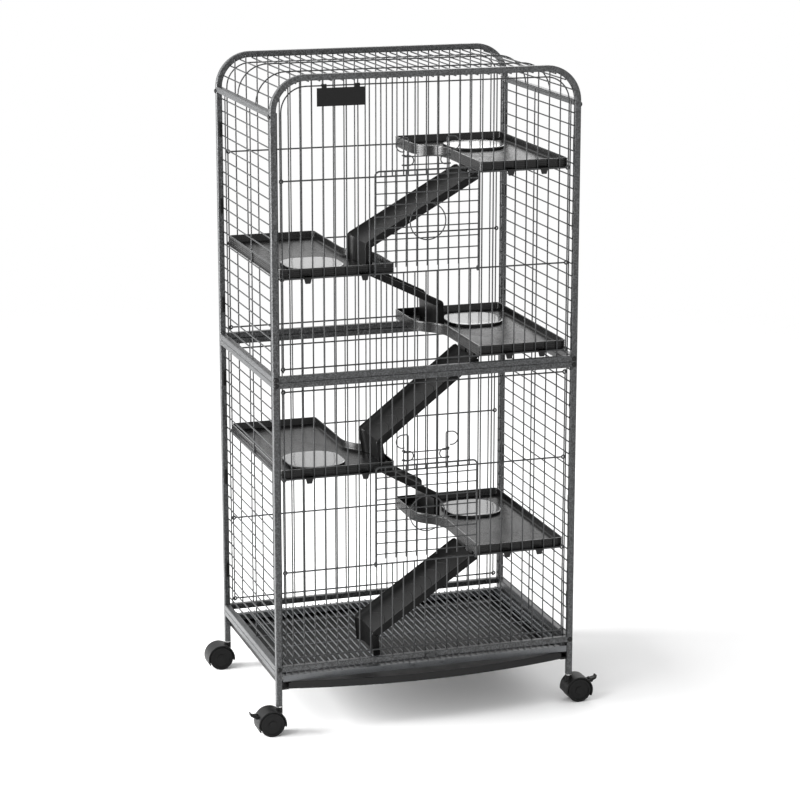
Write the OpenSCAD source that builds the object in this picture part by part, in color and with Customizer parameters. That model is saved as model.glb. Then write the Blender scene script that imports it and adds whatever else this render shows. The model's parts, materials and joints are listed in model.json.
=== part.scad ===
// Ferret cage on castors: two storeys of wire panels in a square tube frame, five shelves
// joined by ramps, two drop-down doors, a pull-out floor grate and a waste tray.
// X runs to the right, Y to the back and Z up. Z = 0 is the floor under the wheels.

/* [Frame] */
// Distance between the corner posts, side to side, centre to centre
post_dx = 618; // [606:2:640]
// Distance between the corner posts, front to back, centre to centre
post_dy = 417; // [410:1:440]
// Outside width of the square tube
tube = 12; // [11.6:0.1:12.4]
// Wall of the square tube
tube_wall = 1.2; // [1:0.1:1.4]
// Outside corner radius of the square tube
tube_round = 2; // [1.5:0.1:2.4]
// Height of the posts' lower ends
foot_z = 58; // [57:0.5:62]
// Height of the seam between the two storeys
seam_z = 719; // [717:1:721]
// Distance of the seam between the posts and the arches below the top of the cage
arch_drop = 73; // [70:1:76]
// Centreline radius of the arches' corners
arch_bend = 66; // [62:1:70]
// Height of the whole cage
total_h = 1313; // [1310:1:1330]
// Height of the front and rear bottom bars' centreline
sill_z = 134; // [133.5:0.5:137]
// Diameter of the frame bolts' shanks
bolt_d = 4; // [3:0.5:4.5]

/* [Wire panels] */
// Diameter of the upright wires and of the side panels' wires
wire_d = 2.8; // [2.4:0.1:3]
// Diameter of the cross wires that the shelves and doors hang on
cross_d = 3.2; // [2.8:0.1:3.4]
// Spacing of the upright wires
pitch = 23; // [22:0.5:24]
// Spacing of the side panels' wires
side_pitch = 25; // [22:1:30]
// Place of the top shelf's cross wire, as a share of the upper storey's height
share_1 = 0.7505; // [0.735:0.0005:0.765]
// Place of the second shelf's and upper door's cross wire, as a share of the upper storey
share_2 = 0.3858; // [0.372:0.0002:0.4]
// Height of the third shelf's cross wire above the seam between the storeys
rise_3 = 24; // [21:1:30]
// Place of the fourth shelf's cross wire, as a share of the lower storey's height
share_4 = 0.6615; // [0.648:0.0005:0.675]
// Place of the fifth shelf's and lower door's cross wire, as a share of the lower storey
share_5 = 0.3368; // [0.323:0.0002:0.35]
// How deep the doors' and latches' crossing wires are pressed into each other by the welds
weld = 0.3; // [0.2:0.05:0.4]

/* [Doors] */
// Half the width of a door over its frame wire
door_half = 107.5; // [104:0.5:109]
// Rise of a door above its upper cross wire
door_rise = 10.5; // [9:0.5:12]
// Diameter of the doors' frame wire
door_wire_d = 3.5; // [3:0.1:3.6]
// Diameter of the doors' mesh wire and of the latches' cross wires
mesh_d = 2.4; // [2:0.1:2.6]
// Diameter of the ring in the middle of a door
door_ring_d = 75; // [60:1:80]
// Radius of the latches' finger loops
loop_r = 13.5; // [12:0.5:14.5]

/* [Shelves] */
// Height of a shelf's walls
shelf_h = 21; // [18:1:24]
// Thickness of the shelves' walls and floors
shelf_t = 3; // [2.4:0.1:3.2]
// Distance of the narrow part's inner edge from the middle of the cage
narrow_x = 112; // [108:1:116]
// Distance of the wide part's inner edge from the middle of the cage
wide_x = 63; // [56:1:70]

/* [Ramps] */
// Length of a ramp from its hinge to the bend
ramp_l = 265; // [262:1:268]
// Width of a ramp
ramp_w = 125; // [120:1:128]
// Length of the turned-down nose
nose_l = 52; // [48:1:56]
// Angle between the ramp and its nose
nose_turn = 61; // [58:1:64]
// Depth of the ramps' side skirts
skirt_h = 13; // [12:1:16]

/* [Grate and tray] */
// Diameter of the grate's wires
grate_d = 2.5; // [2.2:0.1:2.5]
// Spacing of the grate's wires
grate_pitch = 13; // [12:0.5:15]
// How far the tray's bowed front stands out in the middle
bow = 35; // [25:1:40]
// Height of the runners' upper faces
runner_z = 108.5; // [108:0.1:108.8]

/* [Castors] */
// Radius of the wheels
wheel_r = 25; // [24:0.5:25]
// Distance of the wheel's axle from the swivel axis
caster_off = 18; // [16:0.5:20]
// Half the width of a castor
caster_half = 20; // [18:0.5:22]

/* [Hidden] */

// Fit between plain faces of pieces that stay put
slip = 0.2;
// Fit between pieces that move on each other
gap = 0.3;
// Hairline where a panel's wires cross: the spot welds aren't drawn, so each wire stays a
// solid of its own and the panels' collision is open between the wires
hair = 0.1;
// The same hairline as a turn, in degrees, between a bend and the straight wire next to it
hair_turn = 0.1;
px = post_dx / 2;
py = post_dy / 2;
th = tube / 2;
bore_w = tube - 2 * tube_wall;
// Inner faces of the posts
ix = px - th;
iy = py - th;
bend_x = px - arch_bend;
bend_z = total_h - th - arch_bend;
arch_z = total_h - arch_drop;
strap_z = arch_z - 2;
top_bolt_z = arch_z - bolt_d / 2 - 3.5;
// Layers of the front and rear panels, measured from the middle of the cage
up_y = iy - wire_d / 2 - slip;
cross_y = up_y + (wire_d + cross_d) / 2 + hair;
border_y = cross_y + (cross_d + wire_d) / 2 + hair;
border_x = ix - 11;
border_r = border_x - bend_x;
eye_r = 3.4;
// Layers of the side panels
side_x = ix - wire_d / 2 - 0.1;
side_up_x = side_x - wire_d - hair;
upper_h = arch_z - seam_z;
lower_h = seam_z - sill_z;
level_1 = seam_z + share_1 * upper_h;
level_2 = seam_z + share_2 * upper_h;
level_3 = seam_z + rise_3;
level_4 = sill_z + share_4 * lower_h;
level_5 = sill_z + share_5 * lower_h;
low_wire = sill_z + 18.7;
mid_low_wire = seam_z - 21.5;
half_n = floor((border_x - 4) / pitch);
door_n = floor(door_half / pitch);
// Doors
curl_r = cross_d / 2 + gap + door_wire_d / 2;
leg_x = door_half - door_wire_d / 2;
leg_y = cross_y + curl_r;
mesh_y = leg_y + 0.35;
bar_y = leg_y + (door_wire_d + mesh_d) / 2 - weld;
ring_y = bar_y + mesh_d - weld;
latch_y = leg_y + (door_wire_d + mesh_d) / 2 + gap;
link_y = latch_y - mesh_d + weld;
curl_y = link_y - mesh_d + weld;
latch_x = 39.5;
guide_r = (wire_d + mesh_d) / 2 + gap;
guide_x = pitch * 2;
// Name plate, from its left to its right edge
plate_left = -221.5;
plate_right = -126;
// Shelves
shelf_out = side_up_x - wire_d / 2 - slip;
shelf_y = cross_y - curl_r - door_wire_d / 2 - gap;
s_mid = 44;
s_half = 52;
s_turn = 2 * atan2((narrow_x - wide_x) / 2, s_half);
s_r = s_half / sin(s_turn);
floor_top = 3;
bead_r = 3;
hook_in = bead_r + gap;
hook_out = hook_in + 2.2;
bead_x = narrow_x + 6;
bead_drop = shelf_t + 6;
ramp_y = 117.5;
tip_r = shelf_t / 2;
deck = hook_out;
// Centre of the rounded tip of a ramp's nose, in the ramp's own plane
tip_u = ramp_l + (nose_l - tip_r) * cos(nose_turn) - tip_r * sin(nose_turn);
tip_w = deck - (nose_l - tip_r) * sin(nose_turn) - tip_r * cos(nose_turn);
// Grate, tray and runners
grate_z = runner_z + gap;
grate_top = grate_z + tube;
grate_wire_z = grate_top + grate_d / 2 - 0.1;
grate_up_z = grate_wire_z + grate_d - 0.25;
grate_surface = grate_up_z + grate_d / 2;
grate_x = ix - 1.5;
grate_front = py + th - 0.5;
grate_back = iy - 2.5;
runner_in = ix - 14;
runner_low = runner_z - 16.5;
runner_t = 1.5;
tray_x = ix - runner_t - 1.5;
tray_z = runner_low + runner_t + gap;
tray_front = py + th;
bow_half = tray_x - 10;
bow_r = (bow_half * bow_half + bow * bow) / (2 * bow);
front_reach = tray_front + bow;
rear_reach = py + caster_half;
y_shift = (front_reach - rear_reach) / 2;
// Castors
axle_z = wheel_r;
hood_r = wheel_r + 1.3;
hood_out = hood_r + 2.7;
web_h = 4.2;
boss_top = foot_z - 2.3;
round_fn = 48;

steel = [0.30, 0.31, 0.32];
wire_grey = [0.34, 0.35, 0.36];
black = [0.09, 0.09, 0.095];
shelf_black = [0.15, 0.15, 0.155];

function drop_of(top, bottom) = top - bead_drop - bottom - tip_r - gap;
function slope_of(top, bottom) =
  asin(drop_of(top, bottom) / norm([tip_u, tip_w])) - atan2(-tip_w, tip_u);
function arch_height(x) =
  abs(x) <= bend_x ? bend_z + arch_bend
  : bend_z + sqrt(arch_bend * arch_bend - (abs(x) - bend_x) * (abs(x) - bend_x));

// Puts a piece at its place with the footprint's middle at Y = 0
module placed() {
  translate([0, y_shift, 0]) children();
}

module wire_x(x0, x1, y, z, d) {
  translate([x0, y, z]) rotate([0, 90, 0]) cylinder(d = d, h = x1 - x0, $fn = 24);
}

module wire_y(x, y0, y1, z, d) {
  translate([x, y0, z]) rotate([-90, 0, 0]) cylinder(d = d, h = y1 - y0, $fn = 24);
}

module wire_z(x, y, z0, z1, d) {
  translate([x, y, z0]) cylinder(d = d, h = z1 - z0, $fn = 24);
}

// Bent wire in an upright plane facing the front, angles from +X towards +Z
module bend_front(x, y, z, r, a0, a1, d) {
  translate([x, y, z]) rotate([90, 0, 0]) rotate([0, 0, a0])
    rotate_extrude(angle = a1 - a0, $fn = 64) translate([r, 0]) circle(d = d, $fn = 24);
}

// Bent wire in an upright plane facing the side, angles from +Y towards +Z
module bend_side(x, y, z, r, a0, a1, d) {
  translate([x, y, z]) rotate([90, 0, 90]) rotate([0, 0, a0])
    rotate_extrude(angle = a1 - a0, $fn = 64) translate([r, 0]) circle(d = d, $fn = 24);
}

// Bent wire lying flat, angles from +X towards +Y
module bend_flat(x, y, z, r, a0, a1, d) {
  translate([x, y, z]) rotate([0, 0, a0])
    rotate_extrude(angle = a1 - a0, $fn = 64) translate([r, 0]) circle(d = d, $fn = 24);
}

module tube_plan() {
  difference() {
    union() {
      square([tube, tube - 2 * tube_round], center = true);
      square([tube - 2 * tube_round, tube], center = true);
      for (x = [-1, 1], y = [-1, 1])
        translate([x * (th - tube_round), y * (th - tube_round)]) circle(r = tube_round, $fn = 32);
    }
    square(bore_w, center = true);
  }
}

module tube_x(x0, x1, y, z) {
  translate([x0, y, z]) rotate([90, 0, 90]) linear_extrude(x1 - x0) tube_plan();
}

module tube_y(x, y0, y1, z) {
  translate([x, y0, z]) rotate([-90, 0, 0]) linear_extrude(y1 - y0) tube_plan();
}

module tube_z(x, y, z0, z1) {
  translate([x, y, z0]) linear_extrude(z1 - z0) tube_plan();
}

// Block given by its two opposite corners
module box(a, b) {
  translate(a) cube(b - a);
}

function bolt_heights() = [seam_z + th, seam_z - th, sill_z];

// Places of the clips on the posts, three in each storey
function clip_heights() = [for (share = [0.841, 0.537, 0.14]) seam_z + share * upper_h,
  for (share = [0.858, 0.494, 0.145]) sill_z + share * lower_h];

// Every frame bolt's shank, or the hole for it
module shanks(d) {
  for (sx = [-1, 1], sy = [-1, 1]) {
    for (z = bolt_heights())
      translate([sx * px, sy * (py + th + 1), z]) rotate([90 * sy, 0, 0])
        cylinder(d = d, h = tube + 13, $fn = 24);
    translate([sx * (px + th + 1), sy * py, top_bolt_z]) rotate([0, -90 * sx, 0])
      cylinder(d = d, h = tube + 0.6, $fn = 24);
  }
}

module bolt_holes() {
  shanks(bolt_d + 0.3);
}

module arch(sy) {
  y = sy * py;
  difference() {
    union() {
      tube_x(-bend_x, bend_x, y, bend_z + arch_bend);
      for (sx = [-1, 1]) {
        tube_z(sx * px, y, arch_z, bend_z);
        translate([sx * bend_x, y, bend_z]) rotate([90, 0, 0])
          rotate([0, 0, sx > 0 ? 0 : 90])
            rotate_extrude(angle = 90, $fn = 64) translate([arch_bend, 0]) tube_plan();
      }
    }
    bolt_holes();
  }
}

module front_arch() {
  placed() color(steel) arch(-1);
}

module rear_arch() {
  placed() color(steel) arch(1);
}

module post(sx, sy, z0, z1) {
  placed() color(steel) difference() {
    tube_z(sx * px, sy * py, z0, z1);
    bolt_holes();
  }
}

module front_left_upper_post() {
  post(-1, -1, seam_z, arch_z);
}

module front_right_upper_post() {
  post(1, -1, seam_z, arch_z);
}

module rear_left_upper_post() {
  post(-1, 1, seam_z, arch_z);
}

module rear_right_upper_post() {
  post(1, 1, seam_z, arch_z);
}

module front_left_lower_post() {
  post(-1, -1, foot_z, seam_z);
}

module front_right_lower_post() {
  post(1, -1, foot_z, seam_z);
}

module rear_left_lower_post() {
  post(-1, 1, foot_z, seam_z);
}

module rear_right_lower_post() {
  post(1, 1, foot_z, seam_z);
}

module top_side_rails() {
  placed() color(steel)
    for (sx = [-1, 1]) tube_y(sx * px, -iy, iy, strap_z);
}

module front_mid_bars() {
  placed() color(steel) for (dz = [-th, th]) tube_x(-ix, ix, -py, seam_z + dz);
}

module rear_mid_bars() {
  placed() color(steel) for (dz = [-th, th]) tube_x(-ix, ix, py, seam_z + dz);
}

module left_mid_bars() {
  placed() color(steel) for (dz = [-th, th]) tube_y(-px, -iy, iy, seam_z + dz);
}

module right_mid_bars() {
  placed() color(steel) for (dz = [-th, th]) tube_y(px, -iy, iy, seam_z + dz);
}

module front_bottom_bar() {
  placed() color(steel) difference() {
    tube_x(-ix, ix, -py, sill_z);
    wire_y(0, -py - tube, -py + tube, sill_z, bolt_d + 0.3);
  }
}

module rear_bottom_bar() {
  placed() color(steel) tube_x(-ix, ix, py, sill_z);
}

module side_bottom_rails() {
  placed() color(steel)
    for (sx = [-1, 1], z = [sill_z, sill_z - tube]) tube_y(sx * px, -iy, iy, z);
}

// Solid plugs inside the tubes: across the post seams and in the ends of the side bars
module frame_joiners() {
  w = bore_w - 2 * slip;
  placed() color(black) difference() {
    for (sx = [-1, 1], sy = [-1, 1]) {
      for (z = [seam_z, arch_z])
        translate([sx * px, sy * py, z - (z == seam_z ? 30 : 24)])
          linear_extrude(z == seam_z ? 60 : 24 + bend_z - arch_z) square(w, center = true);
      for (z = bolt_heights())
        translate([sx * px, sy * (iy - 8), z]) cube([w, 15, w], center = true);
    }
    bolt_holes();
  }
}

module bolt_head() {
  cylinder(d = 10.6, h = 2, $fn = 32);
  translate([0, 0, 2]) cylinder(d1 = 10.6, d2 = 8, h = 1.2, $fn = 32);
}

module frame_bolts() {
  placed() color(black) {
    for (sx = [-1, 1], sy = [-1, 1]) {
      for (z = bolt_heights())
        translate([sx * px, sy * (py + th), z]) rotate([-90 * sy, 0, 0]) bolt_head();
      translate([sx * (px + th), sy * py, top_bolt_z]) rotate([0, 90 * sx, 0]) bolt_head();
    }
    shanks(bolt_d);
  }
}

module panel_clips() {
  placed() color(black)
    for (sx = [-1, 1], sy = [-1, 1], z = clip_heights())
      difference() {
        translate([sx * (px - 1), sy * (iy - 2), z]) cube([7, 4, 30], center = true);
        translate([sx * (px - 1), sy * (iy - 4), z]) cube([2, 2, 24], center = true);
      }
}

// Cross wire with an eye at each end, on the front of the uprights
module cross_wire(z) {
  wire_x(-border_x + eye_r, border_x - eye_r, -cross_y, z, cross_d);
  for (sx = [-1, 1]) bend_front(sx * border_x, -cross_y, z, eye_r, 0, 360, cross_d);
}

// Uprights from z0 to the arch or to z1, left out between the two wires of a door bay
module uprights(z0, z1, bay) {
  for (k = [-half_n : half_n]) {
    x = k * pitch;
    top = z1 > 0 ? z1 : arch_height(x);
    if (len(bay) == 2 && abs(k) <= door_n) {
      wire_z(x, -up_y, z0, bay[0] + 0.6, wire_d);
      wire_z(x, -up_y, bay[1] - 0.6, top, wire_d);
    } else
      wire_z(x, -up_y, z0, top, wire_d);
  }
}

module upper_panel(bay) {
  z0 = seam_z + th;
  uprights(z0, 0, bay);
  for (z = [level_3, level_2, level_1]) cross_wire(z);
  wire_x(-bend_x, bend_x, -border_y, bend_z + border_r, wire_d);
  for (sx = [-1, 1]) {
    bend_front(sx * bend_x, -border_y, bend_z, border_r, (sx > 0 ? 0 : 90) + hair_turn,
      (sx > 0 ? 90 : 180) - hair_turn, wire_d);
    wire_z(sx * border_x, -border_y, level_3 - eye_r - 3, bend_z, wire_d);
  }
}

module lower_panel(bay) {
  uprights(sill_z, seam_z - th, bay);
  for (z = [low_wire, level_5, level_4, mid_low_wire]) cross_wire(z);
  for (sx = [-1, 1])
    wire_z(sx * border_x, -border_y, low_wire - eye_r - 3, mid_low_wire + eye_r + 3, wire_d);
}

module front_upper_panel() {
  placed() color(wire_grey) upper_panel([level_2, level_1]);
}

module front_lower_panel() {
  placed() color(wire_grey) lower_panel([level_5, level_4]);
}

module rear_upper_panel() {
  placed() color(wire_grey) rotate([0, 0, 180]) upper_panel([]);
}

module rear_lower_panel() {
  placed() color(wire_grey) rotate([0, 0, 180]) lower_panel([]);
}

// Side panel: level wires from z0 upwards between a front, a middle and a rear upright
module side_panel(sx, z0, z1, end0, end1) {
  for (z = [z0 : side_pitch : z1])
    wire_y(sx * side_x, -py - 0.5, py + 0.5, z, wire_d);
  for (y = [-(iy - 3), 0, iy - 3]) wire_z(sx * side_up_x, y, end0, end1, wire_d);
}

module left_upper_panel() {
  placed() color(wire_grey)
    side_panel(-1, level_3, strap_z - 12, seam_z + th, bend_z - 1);
}

module right_upper_panel() {
  placed() color(wire_grey)
    side_panel(1, level_3, strap_z - 12, seam_z + th, bend_z - 1);
}

module left_lower_panel() {
  placed() color(wire_grey)
    side_panel(-1, low_wire, seam_z - tube - 3, sill_z, seam_z - th);
}

module right_lower_panel() {
  placed() color(wire_grey)
    side_panel(1, low_wire, seam_z - tube - 3, sill_z, seam_z - th);
}

// Top mesh: front-to-back wires under the arches, carried by two hoops that stand on the rails
module top_panel() {
  r = arch_bend - th - wire_d / 2 - 0.1;
  hoop = r + wire_d + hair;
  flat_pitch = pitch * 0.985;
  n = floor((bend_x - 4) / flat_pitch - 0.5);
  step = 23.5;
  placed() color(wire_grey) {
    for (k = [-n - 1 : n])
      wire_y((k + 0.5) * flat_pitch, -py - 0.5, py + 0.5, bend_z + r, wire_d);
    for (sx = [-1, 1], a = [90 : -step : 10])
      wire_y(sx * (bend_x + r * sin(a)), -py - 0.5, py + 0.5, bend_z + r * cos(a), wire_d);
    for (y = [-py / 3, py / 3]) {
      translate([-bend_x, y, bend_z + hoop]) rotate([0, 90, 0]) rotate([0, 0, 180])
        cylinder(d = wire_d, h = 2 * bend_x, $fn = 24);
      for (sx = [-1, 1])
        bend_front(sx * bend_x, y, bend_z, hoop, sx > 0 ? 3 : 90 + hair_turn,
          sx > 0 ? 90 - hair_turn : 177, wire_d);
    }
  }
}

// Bare plate hung over the border wire by two folded tabs
module name_plate() {
  z = bend_z + border_r;
  y = -border_y - wire_d / 2 - gap;
  placed() color(black) {
    box([plate_left, y - 1.2, z - 39], [plate_right, y, z - 4]);
    for (x = [plate_left + 14.5, plate_right - 15]) {
      box([x - 5, y - 1.2, z - 5], [x + 5, y, z + wire_d / 2 + 1.5]);
      box([x - 5, y - 1.2, z + wire_d / 2 + gap], [x + 5, y + wire_d + 1.8, z + wire_d / 2 + 1.5]);
      box([x - 5, y + wire_d + 0.6, z - 1.4], [x + 5, y + wire_d + 1.8, z + wire_d / 2 + 1.5]);
    }
  }
}

// Rounds a plan's corner at (x, y); sx and sy point out of the plan
module corner_off(x, y, sx, sy, r) {
  difference() {
    translate([sx > 0 ? x - r : x - 1, sy > 0 ? y - r : y - 1]) square(r + 1);
    translate([x - sx * r, y - sy * r]) circle(r = r, $fn = 48);
  }
}

// Right-hand shelf in plan: wide at the back, narrow at the front, drawn in by t all round
module shelf_plan(t) {
  out = shelf_out - t;
  end = shelf_y - t;
  a = narrow_x + t;
  b = wide_x + t;
  y0 = s_mid - s_half;
  y1 = s_mid + s_half;
  m = (narrow_x + wide_x) / 2 - 15;
  ym = s_mid + t * sin(s_turn);
  difference() {
    union() {
      translate([a, -end]) square([out - a, y0 + end]);
      translate([b, y1]) square([out - b, end - y1]);
      difference() {
        translate([m, y0]) square([out - m, ym - y0]);
        translate([narrow_x - s_r, y0]) circle(r = s_r + t, $fn = 96);
      }
      intersection() {
        translate([wide_x + s_r, y1]) circle(r = s_r - t, $fn = 96);
        translate([wide_x - 5, ym]) square([s_r + 5, y1 - ym]);
      }
      translate([wide_x + s_r, ym]) square([out - wide_x - s_r, y1 - ym]);
    }
    corner_off(out, end, 1, 1, 10 - t);
    corner_off(out, -end, 1, -1, 10 - t);
    corner_off(b, end, -1, 1, 8 - t);
    corner_off(a, -end, -1, -1, 8 - t);
  }
}

module round_plan(w, d, r) {
  square([w, d - 2 * r], center = true);
  square([w - 2 * r, d], center = true);
  for (x = [-1, 1], y = [-1, 1])
    translate([x * (w / 2 - r), y * (d / 2 - r)]) circle(r = r, $fn = 64);
}

// Hook over the front panel's cross wire, with a tapered tongue down its front
module shelf_hook(x) {
  over = cross_d / 2 + gap;
  y = -cross_y - over;
  box([x - 7.5, y - 3, shelf_t + over], [x + 7.5, -shelf_y + 1, shelf_t + over + 3]);
  translate([x, y, shelf_t + over + 3]) rotate([90, 0, 0]) linear_extrude(3)
    polygon([[-7.5, 0], [7.5, 0], [7.5, -6], [5, -15], [-5, -15], [-7.5, -6]]);
}

// Right-hand shelf with its wire at the height of shelf_t; turned by half a turn for the left
module shelf_body() {
  difference() {
    linear_extrude(shelf_h) shelf_plan(0);
    translate([0, 0, 2 * shelf_t]) linear_extrude(shelf_h) shelf_plan(shelf_t);
    translate([0, 0, -1]) linear_extrude(shelf_t + 1) shelf_plan(shelf_t);
    // Two shallow grooves run along the inner wall
    for (z = [5.5, 11.5]) translate([0, 0, z]) linear_extrude(1.4) difference() {
      translate([wide_x - 5, -shelf_y + 12]) square([narrow_x - wide_x + 6, 2 * shelf_y - 24]);
      shelf_plan(0.9);
    }
  }
  translate([204, 95, 2 * shelf_t - 0.5]) difference() {
    linear_extrude(6.5) round_plan(126, 130, 45);
    translate([0, 0, 4.5]) linear_extrude(3) round_plan(120, 124, 42);
  }
  for (k = [7.5, 10.5]) shelf_hook(k * pitch);
  for (k = [5.5, 10.5]) mirror([0, 1, 0]) shelf_hook(k * pitch);
  // Bead under the inner edge that carries the ramp
  translate([bead_x, -ramp_y, shelf_t - bead_drop]) {
    rotate([90, 0, 0]) cylinder(r = bead_r, h = ramp_w - 16, center = true, $fn = 48);
    for (y = [-50, 0, 50])
      translate([-2, y - 2.5, 0]) cube([4, 5, bead_drop + 0.5]);
  }
}

module shelf(level, side) {
  placed() color(shelf_black) translate([0, 0, level - shelf_t])
    rotate([0, 0, side > 0 ? 0 : 180]) shelf_body();
}

module shelf_1() {
  shelf(level_1, 1);
}

module shelf_2() {
  shelf(level_2, -1);
}

module shelf_3() {
  shelf(level_3, 1);
}

module shelf_4() {
  shelf(level_4, -1);
}

module shelf_5() {
  shelf(level_5, 1);
}

// Side view of the walkway, from the hinge at the origin along the slope to the nose's tip
module walkway_plan() {
  t = shelf_t;
  n = nose_turn;
  r = 8;
  run = ramp_l - r * tan(n / 2);
  difference() {
    union() {
      translate([0, deck - t]) square([run, t]);
      circle(r = hook_out, $fn = 64);
    }
    circle(r = hook_in, $fn = 64);
    polygon([[0, 0], [-14, -3], [-14, -14], [3, -14]]);
  }
  // Rounded bend
  intersection() {
    translate([run, deck - r]) difference() {
      circle(r = r, $fn = 64);
      circle(r = r - t, $fn = 64);
    }
    translate([run, deck - r])
      polygon([[0, 0], [0, 2 * r], [2 * r * tan(n / 2), 2 * r], [2 * r * sin(n), 2 * r * cos(n)]]);
  }
  // Nose with a rounded tip
  translate([ramp_l, deck]) rotate(-n) {
    translate([r * tan(n / 2), -t]) square([nose_l - tip_r - r * tan(n / 2), t]);
    translate([nose_l - tip_r, -t / 2]) circle(d = t, $fn = 32);
  }
}

// Side view of a skirt, with its low kerb along the walkway
module skirt_plan() {
  n = nose_turn;
  kerb = 2.5;
  low = deck - skirt_h;
  polygon([
    [10, deck + kerb], [ramp_l - 6, deck + kerb], [ramp_l, deck],
    [ramp_l + (nose_l - 5) * cos(n), deck - (nose_l - 5) * sin(n)],
    [ramp_l + (nose_l - 5) * cos(n) - 4 * sin(n), deck - (nose_l - 5) * sin(n) - 4 * cos(n)],
    [ramp_l + nose_l / 2 * cos(n) - 8 * sin(n), deck - nose_l / 2 * sin(n) - 8 * cos(n)],
    [ramp_l - 24, low], [26, low], [10, deck - 12]
  ]);
}

// Ramp with its hinge axis on the Y axis, running along +X at no slope
module ramp_body() {
  w = ramp_w;
  t = shelf_t;
  side = w / 2 - t;
  rotate([90, 0, 0]) translate([0, 0, -w / 2]) {
    // Walkway, kept clear of the shelf's bead and its webs at the hinge
    difference() {
      linear_extrude(w) walkway_plan();
      translate([-20, -20, -1]) cube([28, 40, w / 2 - 43 + 1]);
      translate([-20, -20, w / 2 + 43]) cube([28, 40, w / 2]);
      translate([-20, -20, w / 2 - 7]) cube([28, 40, 14]);
    }
    for (z = [0, w - t]) translate([0, 0, z]) linear_extrude(t) skirt_plan();
    // Treads across the walkway
    for (u = [24 : 24 : ramp_l - 20]) translate([u, deck - 0.5, 2]) cube([4, 2, w - 4]);
  }
}

module ramp(top, bottom, side) {
  slope = slope_of(top, bottom);
  placed() color(shelf_black)
    rotate([0, 0, side > 0 ? 180 : 0])
      translate([-bead_x, ramp_y, top - bead_drop])
        rotate([0, slope, 0]) ramp_body();
}

module ramp_1() {
  ramp(level_1, level_2 + floor_top, 1);
}

module ramp_2() {
  ramp(level_2, level_3 + floor_top, -1);
}

module ramp_3() {
  ramp(level_3, level_4 + floor_top, 1);
}

module ramp_4() {
  ramp(level_4, level_5 + floor_top, -1);
}

module ramp_5() {
  ramp(level_5, grate_surface, 1);
}

module floor_grate() {
  x = grate_x;
  f = grate_front;
  b = grate_back;
  n = floor((x - 8) / grate_pitch - 0.5);
  placed() color(wire_grey) {
    difference() {
      union() {
        box([-x, -f, grate_z], [x, -f + tube, grate_top]);
        box([-x, b - tube, grate_z], [x, b, grate_top]);
        for (sx = [-1, 1])
          box([sx * x - (sx > 0 ? tube : 0), -f + tube - 1, grate_z],
            [sx * x + (sx > 0 ? 0 : tube), b - tube + 1, grate_top]);
        // Raised pull plate in the middle of the front bar
        box([-37, -f - 2, grate_z], [38, -f + 1, grate_top]);
      }
      for (sx = [-1, 1]) translate([sx * 30, -f - 2, grate_z + th]) cube([8, 5, 4], center = true);
    }
    for (i = [0 : 5])
      wire_x(-x + 1, x - 1, -f + 18 + i * (b + f - 36) / 5, grate_wire_z, grate_d);
    for (k = [-n - 1 : n])
      wire_y((k + 0.5) * grate_pitch, -f + 6, b - 6, grate_up_z, grate_d);
  }
}

// Tray in plan with its bowed front, drawn in by t
module tray_plan(t, x) {
  back = py + 2 - gap;
  translate([-x + t, -tray_front]) square([2 * (x - t), tray_front + back - t]);
  intersection() {
    translate([0, -tray_front - bow + bow_r]) circle(r = bow_r - t, $fn = 180);
    translate([-bow_half + t, -tray_front - bow - 1]) square([2 * (bow_half - t), bow + 1]);
  }
}

module waste_tray() {
  inner = runner_in - 2.5;
  wall = 2.5;
  placed() color(black) {
    translate([0, 0, tray_z]) linear_extrude(wall) tray_plan(0, tray_x);
    translate([0, 0, tray_z]) difference() {
      union() {
        linear_extrude(12) tray_plan(0, inner);
        linear_extrude(runner_z - tray_z) intersection() {
          tray_plan(0, inner);
          translate([-inner, -tray_front - bow - 2]) square([2 * inner, bow + 1]);
        }
      }
      translate([0, 0, wall]) linear_extrude(20) tray_plan(wall, inner);
    }
  }
}

module tray_runners() {
  y = py + 5;
  placed() color(black) for (sx = [-1, 1]) mirror([sx > 0 ? 0 : 1, 0, 0]) {
    difference() {
      box([runner_in, -y, runner_low], [ix, y, runner_z]);
      box([runner_in - 1, -y - 1, runner_low + runner_t], [ix - runner_t, y - 3, runner_z - runner_t]);
    }
  }
}

// Turn latch on the front bottom bar, drawn released; its shank turns in the bar.
// Turned down, its lug hangs between the grate's two middle wires
module tray_latch() {
  y = -grate_front - 2 - gap;
  lug = min(4.4, (grate_pitch - grate_d) / 2 - 0.8);
  placed() color(wire_grey) {
    difference() {
      translate([0, y, sill_z]) rotate([90, 0, 0]) linear_extrude(1.8)
        polygon([[-5, -5], [-5, 5], [5, 5], [7, lug], [19, lug], [23, 1], [23, -2], [20, -lug],
            [7, -lug], [5, -5]]);
      translate([17, y + 1, sill_z]) rotate([90, 0, 0]) cylinder(d = 4, h = 4, $fn = 32);
    }
    translate([0, y - 1.8, sill_z]) rotate([90, 0, 0]) {
      cylinder(d = 9, h = 2, $fn = 32);
      translate([0, 0, 2]) cylinder(d1 = 9, d2 = 6.5, h = 1, $fn = 32);
    }
    wire_y(0, y - 0.5, -py - th - gap, sill_z, 8);
    wire_y(0, y - 0.5, -py + 4, sill_z, bolt_d + 0.16);
  }
}

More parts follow.
